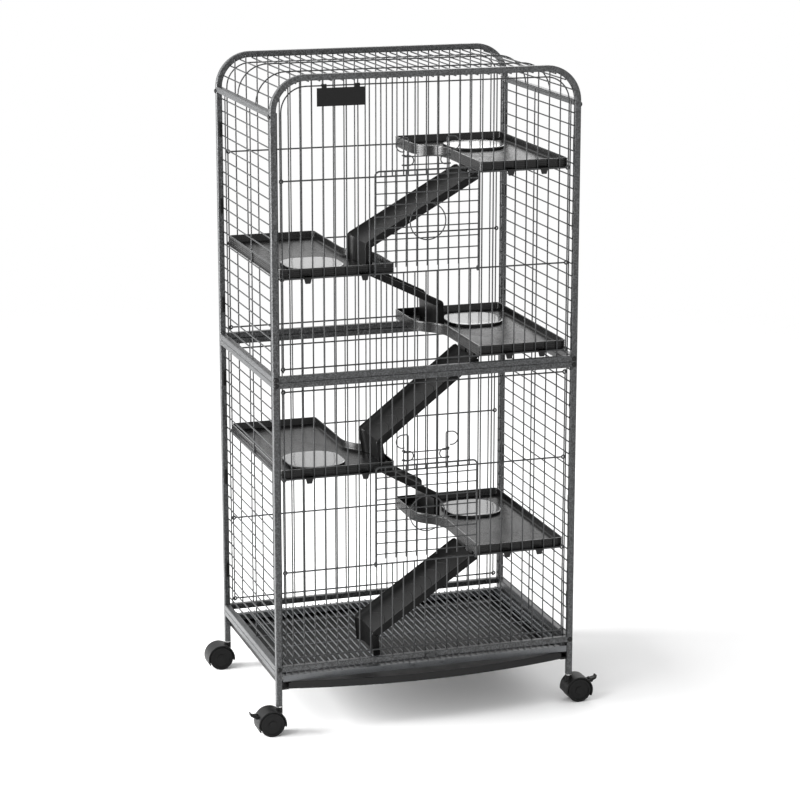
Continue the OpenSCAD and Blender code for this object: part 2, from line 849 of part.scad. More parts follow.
// Door hung on the cross wire at lo by two curls, reaching above the one at hi
module door(lo, hi) {
  top = hi + door_rise;
  r = 9;
  placed() color(wire_grey) {
    for (sx = [-1, 1]) {
      bend_side(sx * leg_x, -cross_y, lo, curl_r, 180, 450, door_wire_d);
      wire_z(sx * leg_x, -leg_y, lo, top - r, door_wire_d);
      bend_front(sx * (leg_x - r), -leg_y, top - r, r, sx > 0 ? 0 : 90,
        sx > 0 ? 90 : 180, door_wire_d);
    }
    wire_x(-leg_x + r, leg_x - r, -leg_y, top, door_wire_d);
    for (i = [-4 : 4]) wire_z(i * door_half / 5, -mesh_y, lo + 12, top, mesh_d);
    for (i = [1 : 8]) wire_x(-leg_x - 0.6, leg_x + 0.6, -bar_y, lo + i * 22.5, mesh_d);
    bend_front(0, -ring_y, lo + 100, (door_ring_d - mesh_d) / 2, 0, 360, mesh_d);
  }
}

module upper_door() {
  door(level_2, level_1);
}

module lower_door() {
  door(level_5, level_4);
}

// Lift latch: two legs with finger loops, two links and rings that slide on the uprights
module door_latch(hi) {
  z = hi + door_rise;
  c = z + 50;
  lx = latch_x + 11.5;
  links = [z + 10.5, z + 26.6];
  mid = (links[0] + links[1]) / 2;
  half = (links[1] - links[0]) / 2 + 1.4;
  placed() color(wire_grey) {
    for (sx = [-1, 1]) {
      right = sx > 0;
      wire_z(sx * latch_x, -latch_y, hi, c + loop_r - 4, mesh_d);
      bend_front(sx * (latch_x + 4), -latch_y, c + loop_r - 4, 4, right ? 90 : 0,
        right ? 180 : 90, mesh_d);
      wire_x(right ? latch_x + 4 : -lx, right ? lx : -latch_x - 4, -latch_y,
        c + loop_r, mesh_d);
      bend_front(sx * lx, -latch_y, c, loop_r, right ? -105 : 90, right ? 90 : 285, mesh_d);
      bend_front(sx * (guide_x - 9), -curl_y, mid, half, right ? 90 : -90,
        right ? 270 : 90, mesh_d);
      for (l = [mid - half, mid + half]) {
        wire_x(right ? guide_x - 9 : -guide_x - 0.6, right ? guide_x + 0.6 : 9 - guide_x,
          -curl_y, l, mesh_d);
        wire_y(sx * guide_x, -curl_y, -up_y - guide_r + 0.3, l, mesh_d * 0.8);
        bend_flat(sx * guide_x, -up_y, l, guide_r, 0, 360, mesh_d);
      }
    }
    for (l = links) wire_x(-guide_x - 1, guide_x + 1, -link_y, l, mesh_d);
  }
}

module upper_door_latch() {
  door_latch(level_1);
}

module lower_door_latch() {
  door_latch(level_4);
}

// Stems in the posts' lower ends: a plug, a bright washer and the pin the hood turns on
module caster_stems() {
  placed() color([0.75, 0.75, 0.76]) for (sx = [-1, 1], sy = [-1, 1])
    translate([sx * px, sy * py, 0]) {
      translate([0, 0, foot_z - 2]) cylinder(r = 6.6, h = 2, $fn = round_fn);
      translate([0, 0, foot_z - 1]) cylinder(r = bore_w / 2 - slip, h = 30, $fn = round_fn);
      translate([0, 0, boss_top - 7]) cylinder(r = 4, h = foot_z - boss_top + 6, $fn = round_fn);
    }
}

// Cylinder lying front to back, centred on the Y axis
module lying(r, h) {
  rotate([90, 0, 0]) cylinder(r = r, h = h, center = true, $fn = 96);
}

// Hood with the swivel axis at the origin and the wheel towards +X
module hood(lever) {
  // The skirt's lower edge slopes down to the outer side
  skirt = 9;
  skirt_turn = 8;
  difference() {
    union() {
      translate([caster_off, 0, axle_z]) difference() {
        lying(hood_out, 2 * caster_half);
        rotate([0, skirt_turn, 0]) translate([0, 0, -50 - skirt])
          cube([120, 60, 100], center = true);
      }
      translate([0, 0, axle_z + 12]) cylinder(r = 7, h = boss_top - axle_z - 12, $fn = round_fn);
    }
    for (sy = [-1, 1])
      translate([caster_off, sy * (web_h + 10), axle_z]) lying(hood_r, 20);
    translate([0, 0, boss_top - 7.2]) cylinder(r = 4.06, h = 8, $fn = round_fn);
    translate([caster_off, 0, axle_z]) lying(3.06, 20);
  }
  if (lever) {
    translate([caster_off + 30, 0, axle_z + 15.5]) {
      for (sy = [-1, 1]) translate([0, sy * 7.8, 0]) {
        lying(3.2, 3);
        translate([-3.6, 0, -0.7]) cube([7.2, 3, 5], center = true);
      }
      lying(1.5, 17);
    }
  }
}

// Twin wheel on its axle, turning in the hood's web
module wheel() {
  w0 = web_h + gap;
  w1 = caster_half - 0.5;
  translate([caster_off, 0, axle_z]) {
    lying(3, 2 * w0 + 2);
    for (sy = [-1, 1]) rotate([90 * sy, 0, 0]) difference() {
      union() {
        translate([0, 0, w0]) cylinder(r1 = wheel_r - 1.2, r2 = wheel_r, h = 1.2, $fn = 96);
        translate([0, 0, w0 + 1.2]) cylinder(r = wheel_r, h = w1 - w0 - 2.4, $fn = 96);
        translate([0, 0, w1 - 1.2]) cylinder(r1 = wheel_r, r2 = wheel_r - 1.2, h = 1.2, $fn = 96);
      }
      translate([0, 0, w1 - 1.6]) difference() {
        cylinder(r = 20, h = 3, $fn = 96);
        translate([0, 0, -1]) cylinder(r = 8, h = 5, $fn = 96);
      }
    }
  }
}

module at_corner(sx, sy) {
  placed() translate([sx * px, sy * py, 0]) rotate([0, 0, sx > 0 ? 0 : 180]) children();
}

module front_left_caster_hood() {
  color(black) at_corner(-1, -1) hood(true);
}

module front_right_caster_hood() {
  color(black) at_corner(1, -1) hood(true);
}

module rear_left_caster_hood() {
  color(black) at_corner(-1, 1) hood(false);
}

module rear_right_caster_hood() {
  color(black) at_corner(1, 1) hood(false);
}

module front_left_wheel() {
  color(black) at_corner(-1, -1) wheel();
}

module front_right_wheel() {
  color(black) at_corner(1, -1) wheel();
}

module rear_left_wheel() {
  color(black) at_corner(-1, 1) wheel();
}

module rear_right_wheel() {
  color(black) at_corner(1, 1) wheel();
}

// Pedal on the hood's outer side
module lever() {
  translate([caster_off + 30, 0, axle_z + 15.5]) difference() {
    union() {
      lying(3.6, 12);
      rotate([90, 0, 0]) translate([0, 0, -6]) linear_extrude(12)
        polygon([[-2, 1], [1, -3.4], [11.5, 2.5], [13, 9], [10.6, 9.2], [9.6, 5.4], [0, 3.5]]);
    }
    lying(1.56, 20);
  }
}

module left_brake_lever() {
  color(black) at_corner(-1, -1) lever();
}

module right_brake_lever() {
  color(black) at_corner(1, -1) lever();
}

front_arch();
rear_arch();
front_left_upper_post();
front_right_upper_post();
rear_left_upper_post();
rear_right_upper_post();
front_left_lower_post();
front_right_lower_post();
rear_left_lower_post();
rear_right_lower_post();
top_side_rails();
front_mid_bars();
rear_mid_bars();
left_mid_bars();
right_mid_bars();
front_bottom_bar();
rear_bottom_bar();
side_bottom_rails();
frame_joiners();
frame_bolts();
panel_clips();
front_upper_panel();
front_lower_panel();
rear_upper_panel();
rear_lower_panel();
left_upper_panel();
left_lower_panel();
right_upper_panel();
right_lower_panel();
top_panel();
name_plate();
shelf_1();
shelf_2();
shelf_3();
shelf_4();
shelf_5();
ramp_1();
ramp_2();
ramp_3();
ramp_4();
ramp_5();
floor_grate();
waste_tray();
tray_runners();
tray_latch();
upper_door();
lower_door();
upper_door_latch();
lower_door_latch();
caster_stems();
front_left_caster_hood();
front_right_caster_hood();
rear_left_caster_hood();
rear_right_caster_hood();
front_left_wheel();
front_right_wheel();
rear_left_wheel();
rear_right_wheel();
left_brake_lever();
right_brake_lever();
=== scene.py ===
"""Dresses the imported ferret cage: wire panels, moulded shelves and ramps, finishes and studio.

Run as a script it builds everything. It is laid out as an add-on, so each step is an operator.
"""

import json
import math

import bmesh
import bpy
from bpy.props import FloatProperty, FloatVectorProperty, IntProperty, PointerProperty
from mathutils import Matrix, Vector


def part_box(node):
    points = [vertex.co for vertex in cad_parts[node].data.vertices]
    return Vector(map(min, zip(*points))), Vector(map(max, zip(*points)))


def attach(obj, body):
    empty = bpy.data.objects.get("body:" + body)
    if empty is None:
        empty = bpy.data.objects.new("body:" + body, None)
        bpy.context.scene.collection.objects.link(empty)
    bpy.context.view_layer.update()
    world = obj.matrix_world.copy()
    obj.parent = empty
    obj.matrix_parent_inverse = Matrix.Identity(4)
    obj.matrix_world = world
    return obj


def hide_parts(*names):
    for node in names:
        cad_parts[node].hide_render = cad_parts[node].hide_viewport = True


bl_info = {
    "name": "Ferret cage",
    "version": (1, 0, 0),
    "blender": (4, 5, 0),
    "location": "View3D > Sidebar > Cage",
    "description": "Builds the looks of a two-storey ferret cage on its fixed frame",
    "category": "Object",
}

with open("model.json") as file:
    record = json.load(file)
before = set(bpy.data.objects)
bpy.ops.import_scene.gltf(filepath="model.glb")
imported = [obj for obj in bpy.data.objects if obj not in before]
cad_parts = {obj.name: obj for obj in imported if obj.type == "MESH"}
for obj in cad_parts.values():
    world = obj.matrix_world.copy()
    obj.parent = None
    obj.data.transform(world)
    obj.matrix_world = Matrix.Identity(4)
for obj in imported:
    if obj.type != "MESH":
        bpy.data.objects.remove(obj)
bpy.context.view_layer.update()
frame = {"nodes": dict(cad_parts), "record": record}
NODES = frame["nodes"]

# Posts, seam, bars and arches of the fixed frame. All sizes are in metres.
UPPER_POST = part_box("front_right_upper_post")
TUBE = UPPER_POST[1].x - UPPER_POST[0].x
POST_X = UPPER_POST[1].x - TUBE / 2
FRONT_Y = UPPER_POST[0].y
REAR_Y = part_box("rear_left_upper_post")[1].y
MID_Y = (FRONT_Y + REAR_Y) / 2
POST_Y = (REAR_Y - FRONT_Y - TUBE) / 2
INNER_X = POST_X - TUBE / 2
INNER_Y = POST_Y - TUBE / 2
SEAM_Z = UPPER_POST[0].z
ARCH_FOOT_Z = UPPER_POST[1].z
SILL_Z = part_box("front_bottom_bar")[0].z + TUBE / 2
RAIL_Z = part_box("top_side_rails")[0].z + TUBE / 2
TOP_BOLT_Z = ARCH_FOOT_Z - 0.0055
BEND_R = 0.066
BEND_X = POST_X - BEND_R
BEND_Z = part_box("front_arch")[1].z - TUBE / 2 - BEND_R

# Heights of the wires that carry the shelves, from the top down. A shelf's lowest points are
# its hooks, which reach this far below the wire.
HOOK_REACH = 0.012
LEVELS = tuple(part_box(f"shelf_{number}")[0].z + HOOK_REACH for number in range(1, 6))

# Front and rear panels: uprights inside, cross wires on them, and the border wire outside.
# Each upright stops this far past a door bay's wire, and the last one this far from the border.
LAYER = 0.0031
UPRIGHT_Y = INNER_Y - 0.0016
CROSS_Y = UPRIGHT_Y + LAYER
BORDER_Y = CROSS_Y + LAYER
BORDER_X = INNER_X - 0.011
BORDER_R = BORDER_X - BEND_X
PAST_BAY = 0.0006
EDGE_GAP = 0.004
EYE_R = 0.0034
PAST_EYE = EYE_R + 0.003
LOW_WIRE = SILL_Z + 0.0187
MID_LOW_WIRE = SEAM_Z - 0.0215
DOOR_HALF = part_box("upper_door")[1].x

# Side panels: level wires from front to back, on three uprights inside them
WIRE_REACH = POST_Y + 0.0005
SIDE_X = INNER_X - 0.0015
STAY_X = SIDE_X - 0.0029
STAY_Y = INNER_Y - 0.003
UNDER_SEAM = TUBE + 0.003
# Top panel: its pitch against the front's, the gap between its wires and what carries them, and
# degrees: the corners' wires from straight up, and the hoops' ends from level
TOP_PITCH_SHARE = 0.985
TOP_GAP = 0.0001
CORNER_TURNS = (90.0, 66.5, 43.0, 19.5)
HOOP_TURN = 3.0

# Shelves: the inner edge, which bends from NARROW_X in front to WIDE_X behind, the outer edges,
# the wall's height and thickness, the floor's height, the plan's corners and the wall's ribs
NARROW_X = 0.112
WIDE_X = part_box("shelf_1")[0].x
EDGE_BEND_Y = 0.044
EDGE_BEND_HALF = 0.052
SHELF_OUT = STAY_X - 0.0016
SHELF_Y = CROSS_Y - 0.0057
SHELF_H = 0.021
SHELF_T = 0.003
SHELF_FLOOR = 2 * SHELF_T
OUTER_CORNER_R = 0.010
INNER_CORNER_R = 0.008
RIB_HEIGHTS = (0.0045, 0.0085, 0.0125, 0.0165)
RIB_HALF = 0.0008
RIB_DEEP = 0.0007
# Pad: middle in plan, and its width, depth and corner radius
PAD_PLACE = (0.202, 0.098)
PAD_SIZE = (0.118, 0.124, 0.045)
# Hooks over the panels' wires: clear of the wire, thickness, half width, and their places in
# pitches of the uprights from the cage's middle
HOOK_OVER = 0.0019
HOOK_T = 0.003
HOOK_HALF = 0.0075
FRONT_HOOKS = (7.5, 10.5)
REAR_HOOKS = (5.5, 10.5)

# Bead under each shelf's inner edge, with its webs. The ramp hangs on it by a hook between the
# webs, rolled round the bead from ROLL_TURN degrees to half a turn.
RAMP_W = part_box("ramp_1")[1].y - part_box("ramp_1")[0].y
RAMP_Y = MID_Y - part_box("ramp_1")[0].y - RAMP_W / 2
RAMP_L = 0.265
BEAD_D = 0.006
BEAD_X = NARROW_X + BEAD_D
BEAD_DROP = SHELF_T + BEAD_D
BEAD_WEBS = (-0.050, 0.0, 0.050)
WEB_T = 0.005
ROLL_IN = 0.0033
ROLL_OUT = ROLL_IN + 0.0022
ROLL_SPANS = ((-0.043, -0.007), (0.007, 0.043))
ROLL_TURN = -50
# Walkway: its deck lies over the hinge's axis, and its nose bends down to the tip, which stands
# on the next level. The side walls and the trough go down from the deck, and the rims rise on it.
DECK = ROLL_OUT
NOSE_L = 0.052
NOSE_TURN = math.radians(61.0)
NOSE_R = 0.008
TIP_R = SHELF_T / 2
TIP_GAP = 0.0003
WALL_H = 0.0115
TROUGH = 0.0092
RIM_H = 0.0024
TREAD_PITCH = 0.024
TREAD_D = 0.0032
GRATE_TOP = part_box("floor_grate")[1].z

# Camera of the photograph: millimetres of lens and sensor, radians, and metres
LENS = 118.86
SENSOR = 36.0
CAMERA_YAW = 0.3111
CAMERA_DIP = 0.2410
CAMERA_PLACE = (-1.59966, -4.9993, 1.90561)

# Studio: half side of the floor, where it starts to fade out, and the lights
FLOOR = 4.0
FLOOR_FADE = 1.6
WHITE = (1.0, 1.0, 1.0)
WORLD_LIGHT = 0.85
LAMP_AIM = (0.0, 0.0, 0.65)
# Each lamp's place, side of its square, and power in watts
LAMPS = {
    "key_lamp": ((-2.6, -1.2, 3.0), 1.4, 50.0),
    "front_lamp": ((1.2, -3.4, 1.6), 2.2, 12.0),
    "left_lamp": ((-3.4, 0.5, 1.1), 1.8, 320.0),
    "rim_lamp": ((1.6, 2.6, 2.4), 1.8, 16.0),
}


def length(name, description, default, span):
    """A length in metres that a user may change within a span."""
    return FloatProperty(
        name=name,
        description=description,
        default=default,
        min=span[0],
        max=span[1],
        precision=4,
        unit="LENGTH",
    )


def tint(name, description, default):
    """A colour that a user may change."""
    return FloatVectorProperty(
        name=name,
        description=description,
        default=default,
        size=3,
        min=0.0,
        max=1.0,
        subtype="COLOR",
    )


class CageSizes(bpy.types.PropertyGroup):
    """Sizes of the wire work that a user may change."""

    upright_wire: length(
        name="Upright wire",
        description="Diameter of the upright wires and the side panels' wires",
        default=0.0028,
        span=(0.002, 0.004),
    )
    cross_wire: length(
        name="Cross wire",
        description="Diameter of the cross wires that carry shelves and doors",
        default=0.0032,
        span=(0.002, 0.004),
    )
    wire_sides: IntProperty(
        name="Wire sides",
        description="Number of faces round a wire",
        default=10,
        min=6,
        max=24,
    )
    pitch: length(
        name="Upright pitch",
        description="Spacing of the upright wires",
        default=0.023,
        span=(0.02, 0.026),
    )
    side_pitch: length(
        name="Side pitch",
        description="Spacing of the side panels' level wires",
        default=0.025,
        span=(0.02, 0.03),
    )


class CageColours(bpy.types.PropertyGroup):
    """Colours of the finishes."""

    coat: tint(
        name="Powder coat",
        description="Colour of the hammered powder coat on the tubes",
        default=(0.026, 0.027, 0.028),
    )
    wire: tint(
        name="Wire",
        description="Colour of the coated wires",
        default=(0.020, 0.021, 0.022),
    )
    shelf: tint(
        name="Shelf plastic",
        description="Colour of the moulded shelves and ramps",
        default=(0.011, 0.011, 0.011),
    )
    black: tint(
        name="Black plastic",
        description="Colour of the tray, runners, clips and castors",
        default=(0.006, 0.006, 0.006),
    )
    zinc: tint(
        name="Zinc",
        description="Darker colour of the castor stems' zinc plating",
        default=(0.42, 0.42, 0.43),
    )
    spangle: tint(
        name="Zinc spangle",
        description="Lighter colour of the castor stems' zinc plating",
        default=(0.62, 0.62, 0.61),
    )


class Num:
    """A node's output that takes part in plain arithmetic by adding Math nodes."""

    def __init__(self, graph, socket):
        self.graph = graph
        self.socket = socket

    def _math(self, operation, first, second):
        return self.graph.node("ShaderNodeMath", {"operation": operation}, first, second)

    def __add__(self, other):
        return self._math("ADD", self, other)

    __radd__ = __add__

    def __mul__(self, other):
        return self._math("MULTIPLY", self, other)

    __rmul__ = __mul__


class Graph:
    """A node tree that is built by calls to node()."""

    def __init__(self, tree):
        self.tree = tree

    def feed(self, socket, value):
        """Links an output to a socket, or sets the socket's own value."""
        if isinstance(value, Num):
            self.tree.links.new(value.socket, socket)
        elif socket.type == "RGBA":
            socket.default_value = (*value, 1.0)
        else:
            socket.default_value = value

    def node(self, kind, settings, *values, output="", **named):
        """Adds a node, sets it up, feeds its open sockets and returns its first or named output.

        A node that has no outputs returns nothing.
        """
        made = self.tree.nodes.new(kind)
        for key, value in settings.items():
            setattr(made, key, value)
        for socket, value in zip((item for item in made.inputs if item.enabled), values):
            self.feed(socket, value)
        for name, value in named.items():
            self.feed(made.inputs[name.replace("_", " ")], value)
        results = (item for item in made.outputs if item.enabled and output in ("", item.name))
        return Num(self, next(results)) if made.outputs else None


class Finish(Graph):
    """One procedural material around a Principled shader."""

    coat_roughness = 0.08

    def __init__(self, name, metallic=0.0, coat=0.0, specular=0.5):
        self.material = bpy.data.materials.new(name)
        self.material.use_nodes = True
        super().__init__(self.material.node_tree)
        self.sockets = self.tree.nodes["Principled BSDF"].inputs
        self.sockets["Metallic"].default_value = metallic
        self.sockets["Coat Weight"].default_value = coat
        self.sockets["Coat Roughness"].default_value = self.coat_roughness
        self.sockets["Specular IOR Level"].default_value = specular
        self.place = self.node("ShaderNodeTexCoord", {}, output="Object")

    def noise(self, scale, detail=2.0, rough=0.5):
        """Soft three-dimensional noise, from 0 to 1."""
        return self.node(
            "ShaderNodeTexNoise",
            {},
            Vector=self.place,
            Scale=scale,
            Detail=detail,
            Roughness=rough,
        )

    def cells(self, scale):
        """Distance to the nearest of a cloud of points."""
        return self.node(
            "ShaderNodeTexVoronoi",
            {"feature": "F1"},
            output="Distance",
            Vector=self.place,
            Scale=scale,
        )

    def mix(self, amount, dark, light):
        """Blend of two colours."""
        return self.node("ShaderNodeMix", {"data_type": "RGBA"}, amount, dark, light)

    def stretch(self, value, low, high):
        """Maps low..high to 0..1 and holds it there."""
        return self.node("ShaderNodeMapRange", {}, value, low, high)

    def colour(self, value):
        """Sets the base colour."""
        self.feed(self.sockets["Base Color"], value)

    def roughness(self, value):
        """Sets the roughness."""
        self.feed(self.sockets["Roughness"], value)

    def bump(self, height, distance, strength):
        """Raises the surface by a height from 0 to 1 times a distance in metres."""
        made = self.node("ShaderNodeBump", {}, Strength=strength, Distance=distance, Height=height)
        self.feed(self.sockets["Normal"], made)


def shade(colour, factor):
    """A colour made lighter or darker by a factor."""
    return tuple(min(1.0, part * factor) for part in colour)


def hammered_coat(colours):
    """Powder coat with a fine hammered grain, as on the square tubes."""
    finish = Finish("hammered_coat")
    grain = finish.noise(330.0, detail=3.0, rough=0.6)
    broad = finish.noise(90.0, detail=2.0)
    speck = finish.stretch(grain, low=0.42, high=0.66)
    light = finish.mix(speck, shade(colours.coat, 0.4), shade(colours.coat, 3.4))
    finish.colour(finish.mix(broad * 0.35, light, shade(colours.coat, 0.8)))
    finish.roughness(0.24 + grain * 0.16)
    finish.bump(grain, distance=0.0006, strength=0.8)
    return finish.material


def wire_coat(colours):
    """Smooth satin coat of the wires."""
    finish = Finish("wire_coat")
    grain = finish.noise(900.0, detail=2.0)
    broad = finish.noise(45.0, detail=2.0)
    finish.colour(finish.mix(broad, shade(colours.wire, 0.8), shade(colours.wire, 1.25)))
    finish.roughness(0.30 + grain * 0.16)
    finish.bump(grain, distance=0.0001, strength=0.5)
    return finish.material


def grate_coat(colours):
    """Polished coat of the floor grate's wires, painted lighter than the other wires as a painted
    highlight along them.
    """
    finish = Finish("grate_coat")
    grain = finish.noise(500.0, detail=2.0)
    painted_highlight_patches = finish.noise(25.0, detail=3.0)
    # Three to six and a half times the wire colour: a painted highlight, patchy by noise.
    finish.colour(finish.mix(painted_highlight_patches, shade(colours.wire, 3.0), shade(colours.wire, 6.5)))
    finish.roughness(0.22 + grain * 0.14)
    finish.bump(grain, distance=0.0001, strength=0.5)
    return finish.material


def shelf_plastic(colours):
    """Grained plastic of the shelves, dulled by wear in places."""
    finish = Finish("shelf_plastic", specular=0.25)
    grain = finish.cells(1100.0)
    wear_and_sheen = finish.noise(14.0, detail=4.0, rough=0.55)
    finish.colour(finish.mix(wear_and_sheen, shade(colours.shelf, 0.35), shade(colours.shelf, 0.9)))
    finish.roughness(0.16 + wear_and_sheen * 0.16 + grain * 0.05)
    finish.bump(grain, distance=0.00008, strength=0.6)
    return finish.material


def pad_plastic(colours):
    """Polished plastic of the shelves' raised pads, painted far lighter than the shelf plastic as a
    painted reflection.
    """
    finish = Finish("pad_plastic", coat=1.0)
    wear_and_sheen = finish.noise(18.0, detail=3.0, rough=0.5)
    # Seven to twelve times the shelf colour: a painted reflection of the white studio on the pad's
    # top.
    finish.colour(finish.mix(wear_and_sheen, shade(colours.shelf, 7.0), shade(colours.shelf, 12.0)))
    finish.roughness(0.2 + wear_and_sheen * 0.12)
    finish.bump(wear_and_sheen, distance=0.00005, strength=0.4)
    return finish.material


def worn_rim(colours):
    """Top of the shelves' walls, painted bright as a painted highlight along the rounded edge."""
    finish = Finish("worn_rim", coat=1.0)
    wear_and_sheen = finish.noise(60.0, detail=3.0, rough=0.6)
    # Three to twenty-six times the shelf colour: a painted highlight, patchy by noise.
    finish.colour(finish.mix(wear_and_sheen, shade(colours.shelf, 3.0), shade(colours.shelf, 26.0)))
    finish.roughness(0.2 + wear_and_sheen * 0.2)
    finish.bump(wear_and_sheen, distance=0.00005, strength=0.4)
    return finish.material


def ramp_plastic(colours):
    """Matt grained plastic of the ramps."""
    finish = Finish("ramp_plastic", specular=0.14)
    grain = finish.cells(900.0)
    wear_and_sheen = finish.noise(22.0, detail=4.0, rough=0.6)
    finish.colour(finish.mix(wear_and_sheen, shade(colours.shelf, 0.1), shade(colours.shelf, 0.6)))
    finish.roughness(0.26 + wear_and_sheen * 0.2)
    finish.bump(grain, distance=0.00012, strength=0.7)
    return finish.material


def trim_plastic(colours):
    """Satin black plastic of the tray, runners, clips and joiners."""
    finish = Finish("trim_plastic", specular=0.2)
    grain = finish.cells(1300.0)
    wear_and_sheen = finish.noise(30.0, detail=3.0)
    finish.colour(finish.mix(wear_and_sheen, shade(colours.black, 0.85), shade(colours.black, 1.5)))
    finish.roughness(0.34 + wear_and_sheen * 0.2)
    finish.bump(grain, distance=0.00006, strength=0.6)
    return finish.material


def castor_plastic(colours):
    """Fine-grained nylon of the castor hoods, forks and brake levers."""
    finish = Finish("castor_plastic", specular=0.16)
    grain = finish.noise(700.0, detail=3.0)
    finish.colour(finish.mix(grain, colours.black, shade(colours.black, 1.8)))
    finish.roughness(0.32 + grain * 0.2)
    finish.bump(grain, distance=0.00008, strength=0.6)
    return finish.material


def wheel_plastic(colours):
    """Wheel disc and tread, scuffed where it meets the floor."""
    finish = Finish("wheel_plastic", specular=0.12)
    scuff = finish.noise(160.0, detail=4.0, rough=0.65)
    finish.colour(finish.mix(scuff, shade(colours.black, 0.9), shade(colours.black, 2.2)))
    finish.roughness(0.36 + scuff * 0.26)
    finish.bump(scuff, distance=0.0001, strength=0.6)
    return finish.material


def blackened_steel(colours):
    """Blackened steel of the bolts."""
    finish = Finish("blackened_steel", metallic=0.6)
    wear_and_sheen = finish.noise(500.0, detail=3.0)
    finish.colour(finish.mix(wear_and_sheen, colours.black, shade(colours.black, 3.0)))
    finish.roughness(0.28 + wear_and_sheen * 0.2)
    finish.bump(wear_and_sheen, distance=0.00005, strength=0.6)
    return finish.material


def zinc_steel(colours):
    """Zinc-plated steel of the castor stems and axles."""
    finish = Finish("zinc_steel", metallic=1.0)
    spangle = finish.cells(260.0)
    finish.colour(finish.mix(spangle, colours.zinc, colours.spangle))
    finish.roughness(0.2 + spangle * 0.2)
    finish.bump(spangle, distance=0.00004, strength=0.5)
    return finish.material


def plate_black(colours):
    """Black coat of the bare name plate."""
    finish = Finish("plate_black", specular=0.15)
    grain = finish.noise(800.0, detail=2.0)
    finish.colour(finish.mix(grain, shade(colours.black, 0.9), shade(colours.black, 1.4)))
    finish.roughness(0.26 + grain * 0.12)
    finish.bump(grain, distance=0.00005, strength=0.5)
    return finish.material


FINISHES = {
    make.__name__: make
    for make in (
        hammered_coat,
        wire_coat,
        grate_coat,
        shelf_plastic,
        pad_plastic,
        worn_rim,
        ramp_plastic,
        trim_plastic,
        castor_plastic,
        wheel_plastic,
        blackened_steel,
        zinc_steel,
        plate_black,
    )
}

FINISH_OF_SLOT = {
    "frame_tube": "hammered_coat",
    "wire": "wire_coat",
    "moulded_plastic": "shelf_plastic",
    "black_plastic": "trim_plastic",
    "plate": "plate_black",
    "bright_steel": "zinc_steel",
    "bolt": "blackened_steel",
    "caster_plastic": "castor_plastic",
    "wheel": "wheel_plastic",
}


def finish_named(name):
    """A finish, made the first time that it is asked for."""
    return bpy.data.materials.get(name) or FINISHES[name](bpy.context.scene.cage_colours)


def dress_nodes():
    """Gives every CAD node the finish of its material slot."""
    slots = {part["node"]: part["material_slot"] for part in frame["record"]["subparts"]}
    for name, node in NODES.items():
        finish = FINISH_OF_SLOT[slots[name]]
        if name.startswith("ramp_"):
            finish = "ramp_plastic"
        # The floor grate's wires take a lighter coat, which is a painted highlight.
        elif name == "floor_grate":
            finish = "grate_coat"
        for slot in node.material_slots:
            slot.material = finish_named(finish)


# ---- Geometry Nodes groups -------------------------------------------------------------


def new_group(name, inputs):
    """Geometry Nodes group with the named inputs; returns its graph and its inputs by name."""
    tree = bpy.data.node_groups.new(name, "GeometryNodeTree")
    for label, kind in inputs.items():
        tree.interface.new_socket(name=label, in_out="INPUT", socket_type="NodeSocket" + kind)
    tree.interface.new_socket(name="Geometry", in_out="OUTPUT", socket_type="NodeSocketGeometry")
    graph = Graph(tree)
    return graph, {label: graph.node("NodeGroupInput", {}, output=label) for label in inputs}


def end_group(graph, shape, finish):
    """Closes a group with real instances, a material and an output, and returns its tree."""
    real = graph.node("GeometryNodeRealizeInstances", {}, shape)
    coated = graph.node("GeometryNodeSetMaterial", {}, real, Material=finish)
    graph.node("NodeGroupOutput", {}, coated)
    return graph.tree


def wire_row():
    """Sweeps a round wire along centre lines and repeats it in a straight row."""
    graph, given = new_group(
        "wire_row",
        {
            "Lines": "Geometry",
            "Count": "Int",
            "Step": "Vector",
            "Diameter": "Float",
            "Sides": "Int",
            "Finish": "Material",
        },
    )
    curve = graph.node("GeometryNodeMeshToCurve", {}, given["Lines"])
    section = graph.node(
        "GeometryNodeCurvePrimitiveCircle",
        {"mode": "RADIUS"},
        Resolution=given["Sides"],
        Radius=given["Diameter"] * 0.5,
    )
    wire = graph.node("GeometryNodeCurveToMesh", {}, curve, section, Fill_Caps=True)
    smooth = graph.node("GeometryNodeSetShadeSmooth", {}, wire, Shade_Smooth=True)
    places = {"Count": given["Count"], "Offset": given["Step"]}
    row = graph.node("GeometryNodeMeshLine", {"mode": "OFFSET"}, **places)
    copies = graph.node("GeometryNodeInstanceOnPoints", {}, row, Instance=smooth)
    return end_group(graph, copies, given["Finish"])


def fasteners():
    """Puts one fastener at each point, turned so that its +Z follows the point's facing."""
    graph, given = new_group(
        "fasteners",
        {"Points": "Geometry", "Fastener": "Object", "Size": "Float", "Finish": "Material"},
    )
    shape = graph.node(
        "GeometryNodeObjectInfo",
        {"transform_space": "ORIGINAL"},
        given["Fastener"],
        output="Geometry",
    )
    facing = graph.node("GeometryNodeInputNamedAttribute", {"data_type": "FLOAT_VECTOR"}, "facing")
    turn = graph.node("FunctionNodeAlignRotationToVector", {"axis": "Z"}, Vector=facing)
    copies = graph.node(
        "GeometryNodeInstanceOnPoints",
        {},
        given["Points"],
        Instance=shape,
        Rotation=turn,
        Scale=given["Size"],
    )
    return end_group(graph, copies, given["Finish"])


GROUPS = {make.__name__: make for make in (wire_row, fasteners)}


